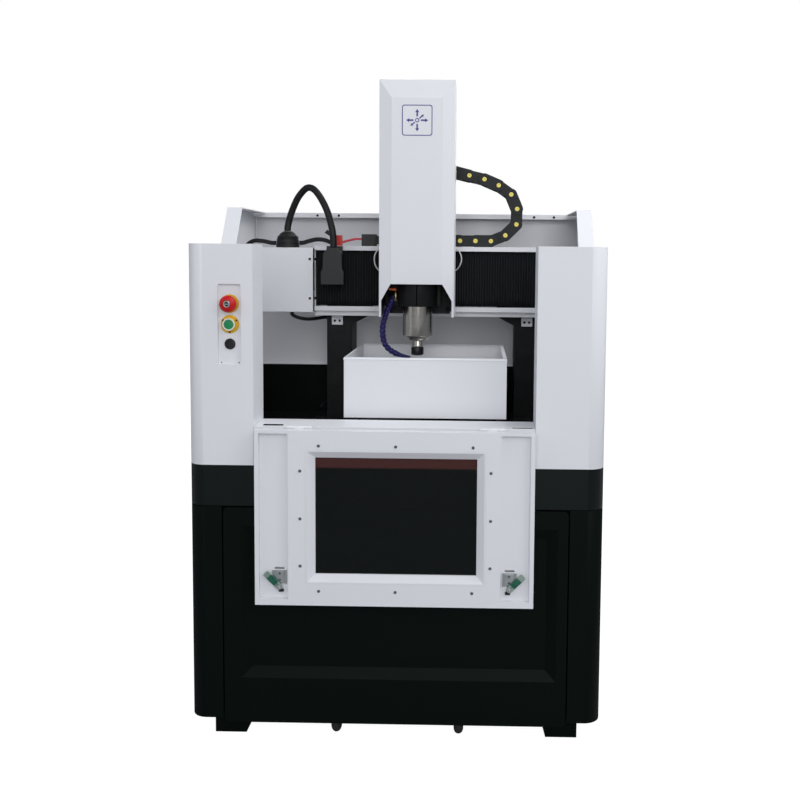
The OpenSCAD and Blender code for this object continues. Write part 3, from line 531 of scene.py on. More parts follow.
def prism(outline, y_front, y_back):
    """An outline in X and Z, drawn anticlockwise as seen from the front, made solid along Y."""
    outline = np.asarray(outline, float)
    n = len(outline)
    front = np.stack([outline[:, 0], np.full(n, y_front), outline[:, 1]], -1)
    back = front + [0, y_back - y_front, 0]
    faces = [list(range(n)), list(range(2 * n - 1, n - 1, -1))]
    faces += [[i, n + i, n + (i + 1) % n, (i + 1) % n] for i in range(n)]
    return np.concatenate([front, back]), faces


def rectangle(low_x, high_x, low_z, high_z):
    """An upright rectangle's corners, anticlockwise as seen from the front."""
    return [(low_x, low_z), (high_x, low_z), (high_x, high_z), (low_x, high_z)]


def round_square(half, radius, steps=8):
    """A square with round corners, anticlockwise."""
    turn = np.linspace(0, np.pi / 2, steps)
    corner = radius * np.stack([np.cos(turn), np.sin(turn)], -1) + (half - radius)
    spins = [np.array([[c, -s], [s, c]]) for c, s in ((1, 0), (0, 1), (-1, 0), (0, -1))]
    return np.concatenate([corner @ spin.T for spin in spins])


def band(outer, inner, y_front, y_back):
    """The solid band between two outlines that have as many points each."""
    n = len(outer)
    loops = [(outer, y_front), (inner, y_front), (inner, y_back), (outer, y_back)]
    points = np.concatenate([np.stack([o[:, 0], np.full(n, y), o[:, 1]], -1) for o, y in loops])
    return points, [q[::-1] for q in sheet_faces(4, n, wrap_rows=True, wrap_columns=True).tolist()]


def eased(made, width, segments=2):
    """Rounds a piece's hard edges by width."""
    bevel = made.modifiers.new("eased_edges", "BEVEL")
    bevel.width, bevel.segments = width, segments
    bevel.limit_method, bevel.angle_limit = "ANGLE", math.radians(35)
    bevel.harden_normals = True


def dressed(node, material, ease=0.0, segments=2):
    """Gives a CAD node its finish, and eased edges where ease is its width."""
    made = NODES[node]
    made.data.materials.clear()
    made.data.materials.append(material)
    if ease:
        weld = made.modifiers.new("weld", "WELD")
        weld.merge_threshold = 1e-6
        eased(made, ease, segments)


# ---------- settings ----------


class MILL_PG_sizes(bpy.types.PropertyGroup):
    """Sizes of the fine pieces."""

    paint_line: bpy.props.FloatProperty(
        name="Paint line", description="Height where white gives way to black", default=0.676, unit="LENGTH")
    sheet_ease: bpy.props.FloatProperty(
        name="Sheet edge", description="Rounding of folded sheet edges", default=0.0012, unit="LENGTH")
    casting_ease: bpy.props.FloatProperty(
        name="Casting edge", description="Rounding of cast and milled edges", default=0.0018, unit="LENGTH")
    pleat_pitch: bpy.props.FloatProperty(
        name="Pleat pitch", description="Length of one fold of the bellows", default=0.0075, unit="LENGTH")
    screw_radius: bpy.props.FloatProperty(
        name="Screw head", description="Radius of a sheet-metal screw's head", default=0.0036, unit="LENGTH")


class MILL_PG_colours(bpy.types.PropertyGroup):
    """Colours that a user would change."""

    white: bpy.props.FloatVectorProperty(
        name="White paint", description="Upper panels, door and head", subtype="COLOR", size=4,
        min=0, max=1, default=rgb(230, 231, 234))
    black: bpy.props.FloatVectorProperty(
        name="Black paint", description="Lower panels", subtype="COLOR", size=4,
        min=0, max=1, default=rgb(6, 15, 12))
    casting: bpy.props.FloatVectorProperty(
        name="Casting enamel", description="Bed, legs and beam", subtype="COLOR", size=4,
        min=0, max=1, default=rgb(14, 16, 18))
    symbol: bpy.props.FloatVectorProperty(
        name="Symbol", description="Axis arrows on the head", subtype="COLOR", size=4,
        min=0, max=1, default=rgb(52, 48, 138))


def sizes():
    """The sizes a user can change."""
    return bpy.context.scene.mill_sizes


def colours():
    """The colours a user can change."""
    return bpy.context.scene.mill_colours


def below_line(x, y, z):
    """Below the height where white paint gives way to black."""
    return z < sizes().paint_line


def sill_black_and_painted_shade(x, y, z):
    """Below the paint line, where the sill is painted black. Its whole inside and the walls of its left slot
    are painted black too, as painted shade in the slot.
    """
    span = Span("front_sill")
    wall, lip = 0.002, 0.0021
    top, front = span.high[2] - lip, Span("left_column").low[1]
    hollow = between(y, front + wall, span.high[1] - wall) * (z < top - 0.0024)
    slot = between(x, -0.322, -0.272) * between(y, front + 0.0105, front + 0.0335) * (z < top - 0.0002)
    return below_line(x, y, z).math("MAXIMUM", hollow).math("MAXIMUM", slot)


def cover_inside_painted_shade(x, y, z):
    """The inside of the head's cover, behind its front sheet and the bevelled frame round it. The cover's
    paint turns black there as painted shade.
    """
    span = Span("head_cover")
    wall, frame_depth, flat_half = 0.0025, 0.0105, 0.064
    off = x - span.mid[0]
    behind = between(off, wall - span.size[0] / 2, span.size[0] / 2 - wall) * (y > span.low[1] + frame_depth)
    middle = between(off, -flat_half, flat_half) * (y > span.low[1] + wall) * (z < span.high[2] - 0.05)
    return (behind * (z < span.high[2] - wall)).math("MAXIMUM", middle)


finishes = {}


def finish(name):
    """A finish of the machine, made when it is first asked for."""
    if name in finishes:
        return finishes[name]
    chosen = colours()
    white, black, casting = tuple(chosen.white), tuple(chosen.black), tuple(chosen.casting)
    makers = {
        "white": lambda: powder_coat("white_paint", white, 0.4),
        "two_tone": lambda: powder_coat("two_tone_paint", white, 0.4, 0.25, black, below_line),
        # sill: black below the paint line; its inside and left slot are painted black as painted shade
        "sill": lambda: powder_coat("sill_paint", white, 0.4, 0.25, black, sill_black_and_painted_shade),
        # cover: white outside; its inside is painted black as painted shade
        "cover": lambda: powder_coat("cover_paint", white, 0.4, 0.25, black, cover_inside_painted_shade),
        "black": lambda: powder_coat("black_paint", black, 0.5, 0.08),
        "casting": lambda: enamel("casting_enamel", casting, 0.4, 0.15),
        "rail": lambda: ground_steel("rail_steel", rgb(190, 192, 196), 0.22, (0.4, 0.4, 0.4)),
        "spindle": lambda: ground_steel("spindle_steel", rgb(208, 205, 195), 0.16, (0.2, 0.2, 14)),
        "dark_steel": lambda: ground_steel("dark_steel", rgb(58, 58, 62), 0.3, (1, 1, 1)),
        "screw": lambda: ground_steel("screw_steel", rgb(120, 122, 128), 0.32, (4, 4, 4)),
        "black_screw": lambda: ground_steel("black_screw", rgb(44, 45, 48), 0.38, (4, 4, 4)),
        "zinc": lambda: zinc_plate("zinc_plate", rgb(168, 176, 178), rgb(204, 208, 206)),
        "motor": lambda: moulded("motor_enamel", rgb(20, 21, 23), 0.5, gloss=0.3),
        "black_plastic": lambda: moulded("black_plastic", rgb(30, 33, 36), 0.46, gloss=0.3),
        "jacket": lambda: moulded("cable_jacket", rgb(20, 21, 23), 0.42, 0.00002, gloss=0.35),
        "red": lambda: moulded("red_plastic", rgb(196, 14, 16), 0.32, 0.00001, gloss=0.35),
        "green": lambda: moulded("green_plastic", rgb(10, 138, 84), 0.28, 0.00001, 0.3),
        "bezel": lambda: moulded("bezel_plastic", rgb(226, 226, 206), 0.3, 0.00001, 0.2),
        "rivet": lambda: moulded("rivet_plastic", rgb(246, 228, 110), 0.36, 0.00003, 0.2),
        "nylon": lambda: moulded("nylon_tube", rgb(232, 232, 230), 0.3, 0.00001, 0.2),
        "red_tube": lambda: moulded("red_tube", rgb(214, 62, 72), 0.3, 0.00001, 0.2),
        "blue_tube": lambda: moulded("blue_tube", rgb(86, 84, 190), 0.3, 0.00001, 0.2),
        "symbol": lambda: moulded("symbol_ink", tuple(chosen.symbol), 0.35, 0.00001),
        "hose": lambda: moulded("segmented_hose", rgb(38, 32, 96), 0.4, 0.00002, gloss=0.35),
        "orange": lambda: moulded("orange_plastic", rgb(226, 104, 52), 0.34, 0.00001, 0.2),
        "brass": lambda: ground_steel("turned_brass", rgb(196, 176, 120), 0.25, (0.3, 0.3, 8)),
        "cloth": pleated_cloth,
        "aluminium": milled_aluminium,
        "pane": tinted_pane,
    }
    finishes[name] = makers[name]()
    return finishes[name]


# ---------- operators ----------


class MILL_OT_stage(bpy.types.Operator):
    """Makes the floor, the lamps, the world and the camera."""

    bl_idname = "mill.stage"
    bl_label = "Stage"

    # name, place, height it points at, side in metres, watts
    LAMPS = [("key", (0.5, -5.4, 2.6), 0.984, 3.0, 90), ("right", (3.0, -2.6, 2.6), 0.984, 2.0, 22),
             ("left", (-2.8, -2.2, 2.4), 0.984, 2.0, 10), ("top", (1.6, -0.4, 3.6), 1.1, 1.8, 42),
             ("back", (1.2, 3.6, 2.6), 1.0, 2.4, 26)]
    # background colour and strength for matt surfaces, for reflections and for the camera
    SKY = [((0.86, 0.90, 1.0, 1), 0.5), ((0.97, 0.98, 1.0, 1), 0.25), ((1, 1, 1, 1), 1.0)]
    CAMERA_PLACE, LENS, SHIFT = (0.1946, -2.6968, 1.1776), 44.7, (-0.0776, -0.081)
    SWING, DIP, ROLL = 0.95, 4.5, 0.53  # degrees

    def lamp(self, name, place, height, size, power):
        """A square lamp aimed at a height on the machine's middle line."""
        data = bpy.data.lights.new(name, "AREA")
        data.shape, data.size, data.energy = "SQUARE", size, power
        made = bpy.data.objects.new(name, data)
        made.location = place
        made.rotation_euler = (Vector((0, 0, height)) - Vector(place)).to_track_quat("-Z", "Y").to_euler()
        bpy.context.scene.collection.objects.link(made)

    def pale(self, name, base, glow):
        """A matt surface; the camera sees it half glowing, so it stays white but keeps its shadows."""
        f = Finish(name)
        f.set(Base_Color=base, Roughness=0.95, Specular_IOR_Level=0.0)
        seen = Value(f, f.node("LightPath").outputs["Is Camera Ray"])
        white = f.node("Emission", {}, {"Color": (1, 1, 1, 1), "Strength": glow})
        mix = f.node("MixShader", {}, {0: seen * 0.5, 1: f.shader.outputs[0], 2: white.outputs[0]})
        f.tree.links.new(mix.outputs[0], f.output.inputs["Surface"])
        return f.material

    def sky(self, tree):
        """White to the camera, pale to matt surfaces, dimmer in reflections."""
        shades = [tree.nodes["Background"]] + [tree.nodes.new("ShaderNodeBackground") for _ in range(2)]
        for back, (colour, strength) in zip(shades, self.SKY):
            back.inputs["Color"].default_value = colour
            back.inputs["Strength"].default_value = strength
        path = tree.nodes.new("ShaderNodeLightPath")
        made = shades[0]
        for kind, back in (("Is Glossy Ray", shades[1]), ("Is Camera Ray", shades[2])):
            mix = tree.nodes.new("ShaderNodeMixShader")
            tree.links.new(path.outputs[kind], mix.inputs[0])
            tree.links.new(made.outputs[0], mix.inputs[1])
            tree.links.new(back.outputs[0], mix.inputs[2])
            made = mix
        tree.links.new(made.outputs[0], tree.nodes["World Output"].inputs["Surface"])

    def camera(self, scene):
        """A camera in front of the machine, a little to its right, looking slightly down."""
        data = bpy.data.cameras.new("camera")
        data.sensor_width = 36.0
        data.lens = self.LENS
        data.shift_x, data.shift_y = self.SHIFT
        data.clip_end = 50.0
        made = bpy.data.objects.new("camera", data)
        made.location = self.CAMERA_PLACE
        turns = ((self.SWING, "Z"), (90 - self.DIP, "X"), (self.ROLL, "Z"))
        swing, dip, roll = (Matrix.Rotation(math.radians(angle), 3, axis) for angle, axis in turns)
        made.rotation_euler = (swing @ dip @ roll).to_euler()
        scene.collection.objects.link(made)
        scene.camera = made

    def execute(self, context):
        scene = context.scene
        scene.view_settings.view_transform = "Standard"
        reach = 12.0
        corners = [(-reach, -reach, 0), (reach, -reach, 0), (reach, reach, 0), (-reach, reach, 0)]
        matt = self.pale("pale_floor", (0.35, 0.35, 0.36, 1), 1.95)
        piece("floor", corners, [(0, 1, 2, 3)], matt, None, False)
        for lamp in self.LAMPS:
            self.lamp(*lamp)
        world = bpy.data.worlds.new("studio")
        world.use_nodes = True
        scene.world = world
        self.sky(world.node_tree)
        self.camera(scene)
        return {"FINISHED"}


class MILL_OT_cabinet(bpy.types.Operator):
    """Paints the panels, columns, hood walls and stand, and adds their screws."""

    bl_idname = "mill.cabinet"
    bl_label = "Cabinet"

    PAINTS = {
        "sill": ("front_sill",),
        "two_tone": ("left_column", "right_column", "left_hood_wall", "right_hood_wall"),
        "white": ("rear_hood_wall", "beam_end_cover", "bellows_channels", "control_plate"),
        "black": ("left_side_panel", "right_side_panel", "front_access_panel", "rear_panel", "stand_frame"),
    }
    # places across the machine, and a tab's two holes from its left edge
    RIM_SCREWS = (-0.30, -0.235, 0.36, 0.42)
    TABS, TAB_HOLES = (-0.232, 0.318), (0.009, 0.023)
    REAR_COLUMNS = (-0.47, -0.16, 0.16, 0.47)

    def front_screws(self, head):
        """Screws in the hood's rim, the beam's end cover and channel, and the tabs on the legs."""
        hood, end, strip = Span("rear_hood_wall"), Span("beam_end_cover"), Span("bellows_channels")
        rim_drop, cover_inset, cover_drop, cover_rise = 0.008, 0.009, 0.032, 0.039
        strip_inset, strip_sink, tab_sink, tab_rise = 0.0035, 0.003, 0.009, 0.012
        rim = [(x, hood.low[1], hood.high[2] - rim_drop) for x in self.RIM_SCREWS]
        levels = (end.high[2] - cover_drop, end.low[2] + cover_rise)
        cover = [(end.high[0] - cover_inset, end.low[1], z) for z in levels]
        cover += [(strip.low[0] + strip_inset, strip.low[1] + strip_sink, z) for z in levels]
        tab_y, tab_z = Span("gantry_legs").low[1] + tab_sink, strip.low[2] + tab_rise
        tabs = [(x + hole, tab_y, tab_z) for x in self.TABS for hole in self.TAB_HOLES]
        shape = placed(head, rim + cover + tabs, (0, -1, 0))
        piece("cabinet_screws", *shape, finish("black_screw"), "base", slot="dark_steel")

    def plate_screws(self):
        """Two small screws at the foot of the operator panel."""
        plate, radius, height = Span("control_plate"), 0.0017, 0.0009
        sink, rise, half_apart = 0.008, 0.0125, 0.021
        y, z = Span("left_column").low[1] + sink, plate.low[2] + rise
        spots = [(plate.mid[0] + off, y, z) for off in (-half_apart, half_apart)]
        shape = placed(pan_screw(radius, height), spots, (0, -1, 0))
        piece("plate_screws", *shape, finish("screw"), "base", slot="zinc_steel")

    def panel_screws(self, head):
        """Rows of screws round the side and rear panels."""
        side, back = Span("left_side_panel"), Span("rear_panel")
        margin, front_margin, rear_margin, louvre_depth = 0.04, 0.12, 0.03, 0.008
        rows = [side.low[2] + margin, side.mid[2], side.high[2] - margin]
        columns = [side.low[1] + front_margin, side.mid[1], side.high[1] - margin]
        sides = [placed(head, [(x, y, z) for y in columns for z in rows], (math.copysign(1, x), 0, 0))
                 for x in (side.low[0], -side.low[0])]
        levels = (back.low[2] + rear_margin, back.mid[2], back.high[2] - rear_margin)
        rear_y = back.high[1] - louvre_depth
        rear = placed(head, [(x, rear_y, z) for x in self.REAR_COLUMNS for z in levels], (0, 1, 0))
        piece("panel_screws", *joined([*sides, rear]), finish("black_screw"), "base", slot="dark_steel")

    def execute(self, context):
        for paint, nodes in self.PAINTS.items():
            for node in nodes:
                dressed(node, finish(paint), sizes().sheet_ease)
        head_height = 0.0022
        head = pan_screw(sizes().screw_radius, head_height)
        self.front_screws(head)
        self.plate_screws()
        self.panel_screws(head)
        return {"FINISHED"}


class MILL_OT_castings(bpy.types.Operator):
    """Finishes the bed, gantry, rails, motors, drive screws, tank and table; adds the rim and bolts."""

    bl_idname = "mill.castings"
    bl_label = "Castings and guides"

    DRIVES = (("x_screw", 0, 0.010), ("y_screw", 1, 0.010), ("z_screw", 2, 0.005))

    def rim(self):
        """The tank's folded rim: rectangles that grow or shrink on each side, in turn up, in and down."""
        tank = Span("work_tank")
        out, foot, inner = 0.0008, -0.0062, -0.0033
        lip, lip_narrow = -0.010, -0.005
        levels = [(out,) * 4 + (foot,), (out * 1.5,) * 4 + (-0.0040,), (-0.0006,) * 4 + (0.0004,),
                  (lip_narrow, lip, lip_narrow, lip, 0.0004), (lip_narrow, lip, lip_narrow, lip, -0.0012),
                  (inner,) * 4 + (-0.0012,), (inner,) * 4 + (foot,)]
        rings = []
        for left, right, front, back, up in levels:
            x0, x1 = tank.low[0] - left, tank.high[0] + right
            y0, y1 = tank.low[1] - front, tank.high[1] + back
            z = tank.high[2] + up
            rings.append([(x0, y0, z), (x1, y0, z), (x1, y1, z), (x0, y1, z)])
        faces = sheet_faces(len(rings), 4, wrap_rows=True, wrap_columns=True)
        eased(piece("tank_rim", rings, faces, finish("white"), "table", False, "white_paint"), 0.0004)

    def bolts(self):
        """Cap screws through the gantry legs' feet."""
        legs, radius, height = Span("gantry_legs"), 0.0065, 0.006
        side_inset, end_inset, foot_over_bed = 0.014, 0.03, 0.003
        foot = Span("machine_bed").high[2] + foot_over_bed
        spots = [(x, y, foot) for x in (legs.low[0] + side_inset, legs.high[0] - side_inset)
                 for y in (legs.low[1] + end_inset, legs.mid[1], legs.high[1] - end_inset)]
        shape = placed(socket_screw(radius, height), spots, (0, 0, 1))
        piece("gantry_bolts", *shape, finish("black_screw"), "base", slot="dark_steel")

    def execute(self, context):
        ease, soft, fine = sizes().casting_ease, 0.001, 0.0005
        for node in ("machine_bed", "gantry_legs", "gantry_beam", "saddle", "spindle_mount"):
            dressed(node, finish("casting"), ease)
        for node in ("linear_rails", "x_blocks", "y_blocks", "z_blocks", "z_rails"):
            dressed(node, finish("rail"), fine)
        for node in ("axis_motors", "z_motor"):
            dressed(node, finish("motor"), soft)
        dressed("z_backplate", finish("dark_steel"), ease)
        dressed("work_tank", finish("white"), soft)
        self.rim()
        dressed("slotted_table", finish("aluminium"), fine)
        for node, axis, lead in self.DRIVES:
            dressed(node, threaded_steel(node + "_steel", axis, lead, Span(node).mid))
        self.bolts()
        return {"FINISHED"}


class MILL_OT_door(bpy.types.Operator):
    """Finishes the door, its window and its latches, and adds their screws."""

    bl_idname = "mill.door"
    bl_label = "Door"

    # the screws' places from the window's middle, and the latches' from the machine's
    SCREWS_ACROSS, SCREWS_UP = (-0.182, 0, 0.182), (-0.118, -0.004, 0.1106)
    LATCH_X, PIVOT_X, PIVOT_RISE = 0.273, 0.274, 0.006
    # the block: its place, half width, edges below the pivot, and faces behind the door's foremost face
    CATCH_X, CATCH_HALF, CATCH_DROPS, CATCH_SINKS = 0.270, 0.006, (0.014, 0.0075), (0.007, 0.0119)
    LID_SINK, LID_DROPS = 0.0075, (0.007, 0.023)

    def door_screws(self, door):
        """Screws round the window's clamp frame."""
        ring, height = Span("window_frame"), 0.002
        below, above, left_of, right_of = 0.019, 0.011, 0.0137, 0.0123
        spots = [(ring.mid[0] + off, door.low[1], z) for off in self.SCREWS_ACROSS
                 for z in (ring.low[2] - below, ring.high[2] + above)]
        spots += [(x, door.low[1], ring.mid[2] + off) for off in self.SCREWS_UP
                  for x in (ring.low[0] - left_of, ring.high[0] + right_of)]
        shape = placed(pan_screw(sizes().screw_radius, height), spots, (0, -1, 0))
        piece("door_screws", *shape, finish("screw"), "door", slot="zinc_steel")

    def latch(self, side, word, small, door, bodies):
        """One lever with its pivot screw and the black block under its tip."""
        pivot, sunk, ease = (side * self.PIVOT_X, bodies.low[2] + self.PIVOT_RISE), 0.0001, 0.0006
        dressed("latch_lever_" + word, lever_plating(word + "_lever_plating", pivot, side), ease)
        bright = placed(small, [(pivot[0], door.low[1] + sunk, pivot[1])], (0, -1, 0))
        piece(word + "_pivot_screw", *bright, finish("zinc"), "door", slot="zinc_steel")
        middle, half = side * self.CATCH_X, self.CATCH_HALF
        low, high = (pivot[1] - drop for drop in self.CATCH_DROPS)
        front, back = (door.low[1] + sink for sink in self.CATCH_SINKS)
        block = prism(rectangle(middle - half, middle + half, low, high), front, back)
        catch = piece(word + "_catch_block", *block, finish("black_plastic"), "door", False, "black_plastic")
        eased(catch, ease)

    def execute(self, context):
        ease, radius, height = 0.0006, 0.0029, 0.0016
        dressed("door_panel", finish("white"), sizes().sheet_ease)
        dressed("window_frame", finish("white"), ease)
        dressed("door_window", finish("pane"))
        dressed("latch_bodies", finish("zinc"), ease)
        door, bodies = Span("door_panel"), Span("latch_bodies")
        self.door_screws(door)
        small = pan_screw(radius, height)
        lids = [(side * self.LATCH_X, door.low[1] + self.LID_SINK, bodies.high[2] - drop)
                for side in (-1, 1) for drop in self.LID_DROPS]
        shape = placed(small, lids, (0, -1, 0))
        piece("latch_screws", *shape, finish("screw"), "door", slot="zinc_steel")
        for side, word in ((-1, "left"), (1, "right")):
            self.latch(side, word, small, door, bodies)
        return {"FINISHED"}


class MILL_OT_operator_panel(bpy.types.Operator):
    """Finishes the buttons and their rings, and adds the stop button's key parts and the start bezel."""

    bl_idname = "mill.operator_panel"
    bl_label = "Operator panel"

    # profiles of radius and height: the stop button's key collar and core, and the start button's bezel
    COLLAR = [(0.0052, 0), (0.0052, 0.0012), (0.0056, 0.0018), (0.0074, 0.0018), (0.0079, 0.0011),
              (0.0079, -0.001)]
    CORE = [(0.0001, 0.0006), (0.0051, 0.0006), (0.0051, 0)]
    BEZEL = [(0.0116, 0), (0.0116, 0.0022), (0.0121, 0.0028), (0.0146, 0.0028), (0.0151, 0.0021), (0.0151, 0)]

    def facing(self, name, profile, place, look, body, slot):
        """A profile turned about an axis that points out of the panel."""
        piece(name, *placed(turned(profile), [place], (0, -1, 0)), finish(look), body, slot=slot)

    def execute(self, context):
        cap, start, rings = Span("estop_head"), Span("start_button"), Span("legend_rings")
        dressed("estop_head", finish("red"), 0.0008)
        dressed("start_button", finish("green"), 0.0006)
        dressed("estop_plunger", finish("zinc"))
        dressed("legend_rings", ring_plastic(start.mid, rings.high[1]), 0.0004)
        front = np.array([cap.mid[0], cap.low[1], cap.mid[2]])
        sunk, bar_front, bar_back = 0.0003, 0.0016, 0.0004
        self.facing("estop_collar", self.COLLAR, front + [0, sunk, 0], "zinc", "estop_cap", "zinc_steel")
        self.facing("estop_core", self.CORE, front, "black_plastic", "estop_cap", "black_plastic")
        x, y, z = front
        half_long, half_wide = 0.0048, 0.0012
        outline = rectangle(x - half_long, x + half_long, z - half_wide, z + half_wide)
        bar = prism(outline, y - bar_front, y - bar_back)
        eased(piece("estop_key_bar", *bar, finish("zinc"), "estop_cap", False, "zinc_steel"), 0.0003)
        bezel_height = max(height for _, height in self.BEZEL)
        seat = [start.mid[0], start.low[1] + bezel_height, start.mid[2]]
        self.facing("start_bezel", self.BEZEL, seat, "bezel", "base", "yellow_plastic")
        return {"FINISHED"}


class MILL_OT_bellows(bpy.types.Operator):
    """Folds the two pleated covers on the beam."""

    bl_idname = "mill.bellows"
    bl_label = "Bellows"

    def fold(self, name, node, bodies):
        """Each pleat is a rounded triangle wave in Y along X; the edges are pinched top and bottom."""
        span = Span(node)
        pleats = round(span.size[0] / sizes().pleat_pitch)
        steps_each, rows, roundness = 8, 9, 0.97
        swing, squeeze, sway, sway_radians = 0.34, 0.25, 0.0006, 41
        along, up = np.linspace(0, 1, pleats * steps_each + 1), np.linspace(0, 1, rows)
        s, t = np.meshgrid(along, up, indexing="ij")
        wave = 2 / np.pi * np.arcsin(roundness * np.cos(2 * np.pi * pleats * s))
        depth = span.size[1] * swing
        pinch = 1 - squeeze * np.abs(2 * t - 1) ** 6
        x = span.low[0] + s * span.size[0]
        y = span.mid[1] + wave * depth * pinch + sway * np.sin(sway_radians * s) * np.sin(np.pi * t)
        z = span.low[2] + t * span.size[2]
        points = np.stack([x, y, z], -1)
        faces = sheet_faces(*s.shape)[:, ::-1]
        made = piece(name, points, faces, finish("cloth"), None, slot="bellows_cloth")
        wall = made.modifiers.new("thickness", "SOLIDIFY")
        wall.thickness, wall.offset = 0.0006, 0.0
        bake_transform(made)
        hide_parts(node)

    def execute(self, context):
        self.fold("bellows_folds_left", "bellows_left", ("base", "x_carriage"))
        self.fold("bellows_folds_right", "bellows_right", ("x_carriage", "base"))
        return {"FINISHED"}


class MILL_OT_drag_chain(bpy.types.Operator):
    """Builds the drag chain link by link, with its yellow pins."""

    bl_idname = "mill.drag_chain"
    bl_label = "Drag chain"

    PITCH, HEIGHT, PLATE = 0.044, 0.034, 0.003  # of a link, and its side plates' thickness
    # each link's slope in degrees, from the end fixed to the beam round to the end on the head
    TURNS = [0, 0, 0, 0, 0, 0, 0, 22, 45, 88, 113, 145, 157, 167, 166]
    # the bars' places up a link, and where they start and end along it
    BARS, BAR_FROM, BAR_TO = (-0.0155, 0.0125), 0.015, 0.029
    # a narrow link's clearance and how much slimmer it is, a pin head's room, and the top of the bend
    GAP, SLIMMER, PIN_ROOM, TOP_DROP = 0.0003, 0.0012, 0.0015, 0.03
    PIN = [(0.0063, 0), (0.0063, 0.0010), (0.0057, 0.0015), (0.0022, 0.0016), (0.0018, 0.0008),
           (0.0001, 0.0008)]

    def link_outline(self, narrow):
        """A stadium: two half circles and the straight edges between them."""
        r = self.HEIGHT / 2 - (self.SLIMMER if narrow else 0)
        turn = np.linspace(-np.pi / 2, np.pi / 2, 13)
        right = np.stack([self.PITCH + r * np.cos(turn), r * np.sin(turn)], -1)
        left = np.stack([-r * np.cos(turn), -r * np.sin(turn)], -1)
        return np.concatenate([right, left])

    def link(self, pivot, angle, narrow, front, back):
        """Two side plates and the two bars between them. Narrow links sit inside their neighbours."""
        inset = (self.PLATE + self.GAP) if narrow else 0.0
        turn = np.array([[math.cos(angle), math.sin(angle)], [-math.sin(angle), math.cos(angle)]])
        outline = self.link_outline(narrow) @ turn + pivot
        near, far = front + inset, back - inset - self.PLATE
        parts = [prism(outline, y, y + self.PLATE) for y in (near, far)]
        for low in self.BARS:
            bar = np.array(rectangle(self.BAR_FROM, self.BAR_TO, low, low + self.PLATE))
            parts.append(prism(bar @ turn + pivot, near + self.PLATE, far))
        return parts

    def execute(self, context):
        span = Span("drag_chain")
        front, back = span.low[1] + self.PIN_ROOM, span.high[1]
        foot = np.array([span.low[0], span.low[2]]) + self.HEIGHT / 2
        angles = np.radians(self.TURNS)
        steps = self.PITCH * np.stack([np.cos(angles), np.sin(angles)], -1)
        pivots = foot + np.concatenate([[[0, 0]], np.cumsum(steps, 0)])
        plates = []
        for i, angle in enumerate(angles):
            plates += self.link(pivots[i], angle, i % 2 == 1, front, back)
        black = finish("black_plastic")
        links = piece("drag_chain_links", *joined(plates), black, None, False, "black_plastic")
        eased(links, 0.0007)
        head = turned(self.PIN, 28)
        pins = [placed(head, [(x, front, z) for x, z in pivots], (0, -1, 0)),
                placed(head, [(x, back - self.PIN_ROOM, z) for x, z in pivots], (0, 1, 0))]
        heads = piece("drag_chain_pins", *joined(pins), finish("rivet"), None, True, "yellow_plastic")
        for made in (links, heads):
            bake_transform(made)
        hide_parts("drag_chain")
        return {"FINISHED"}


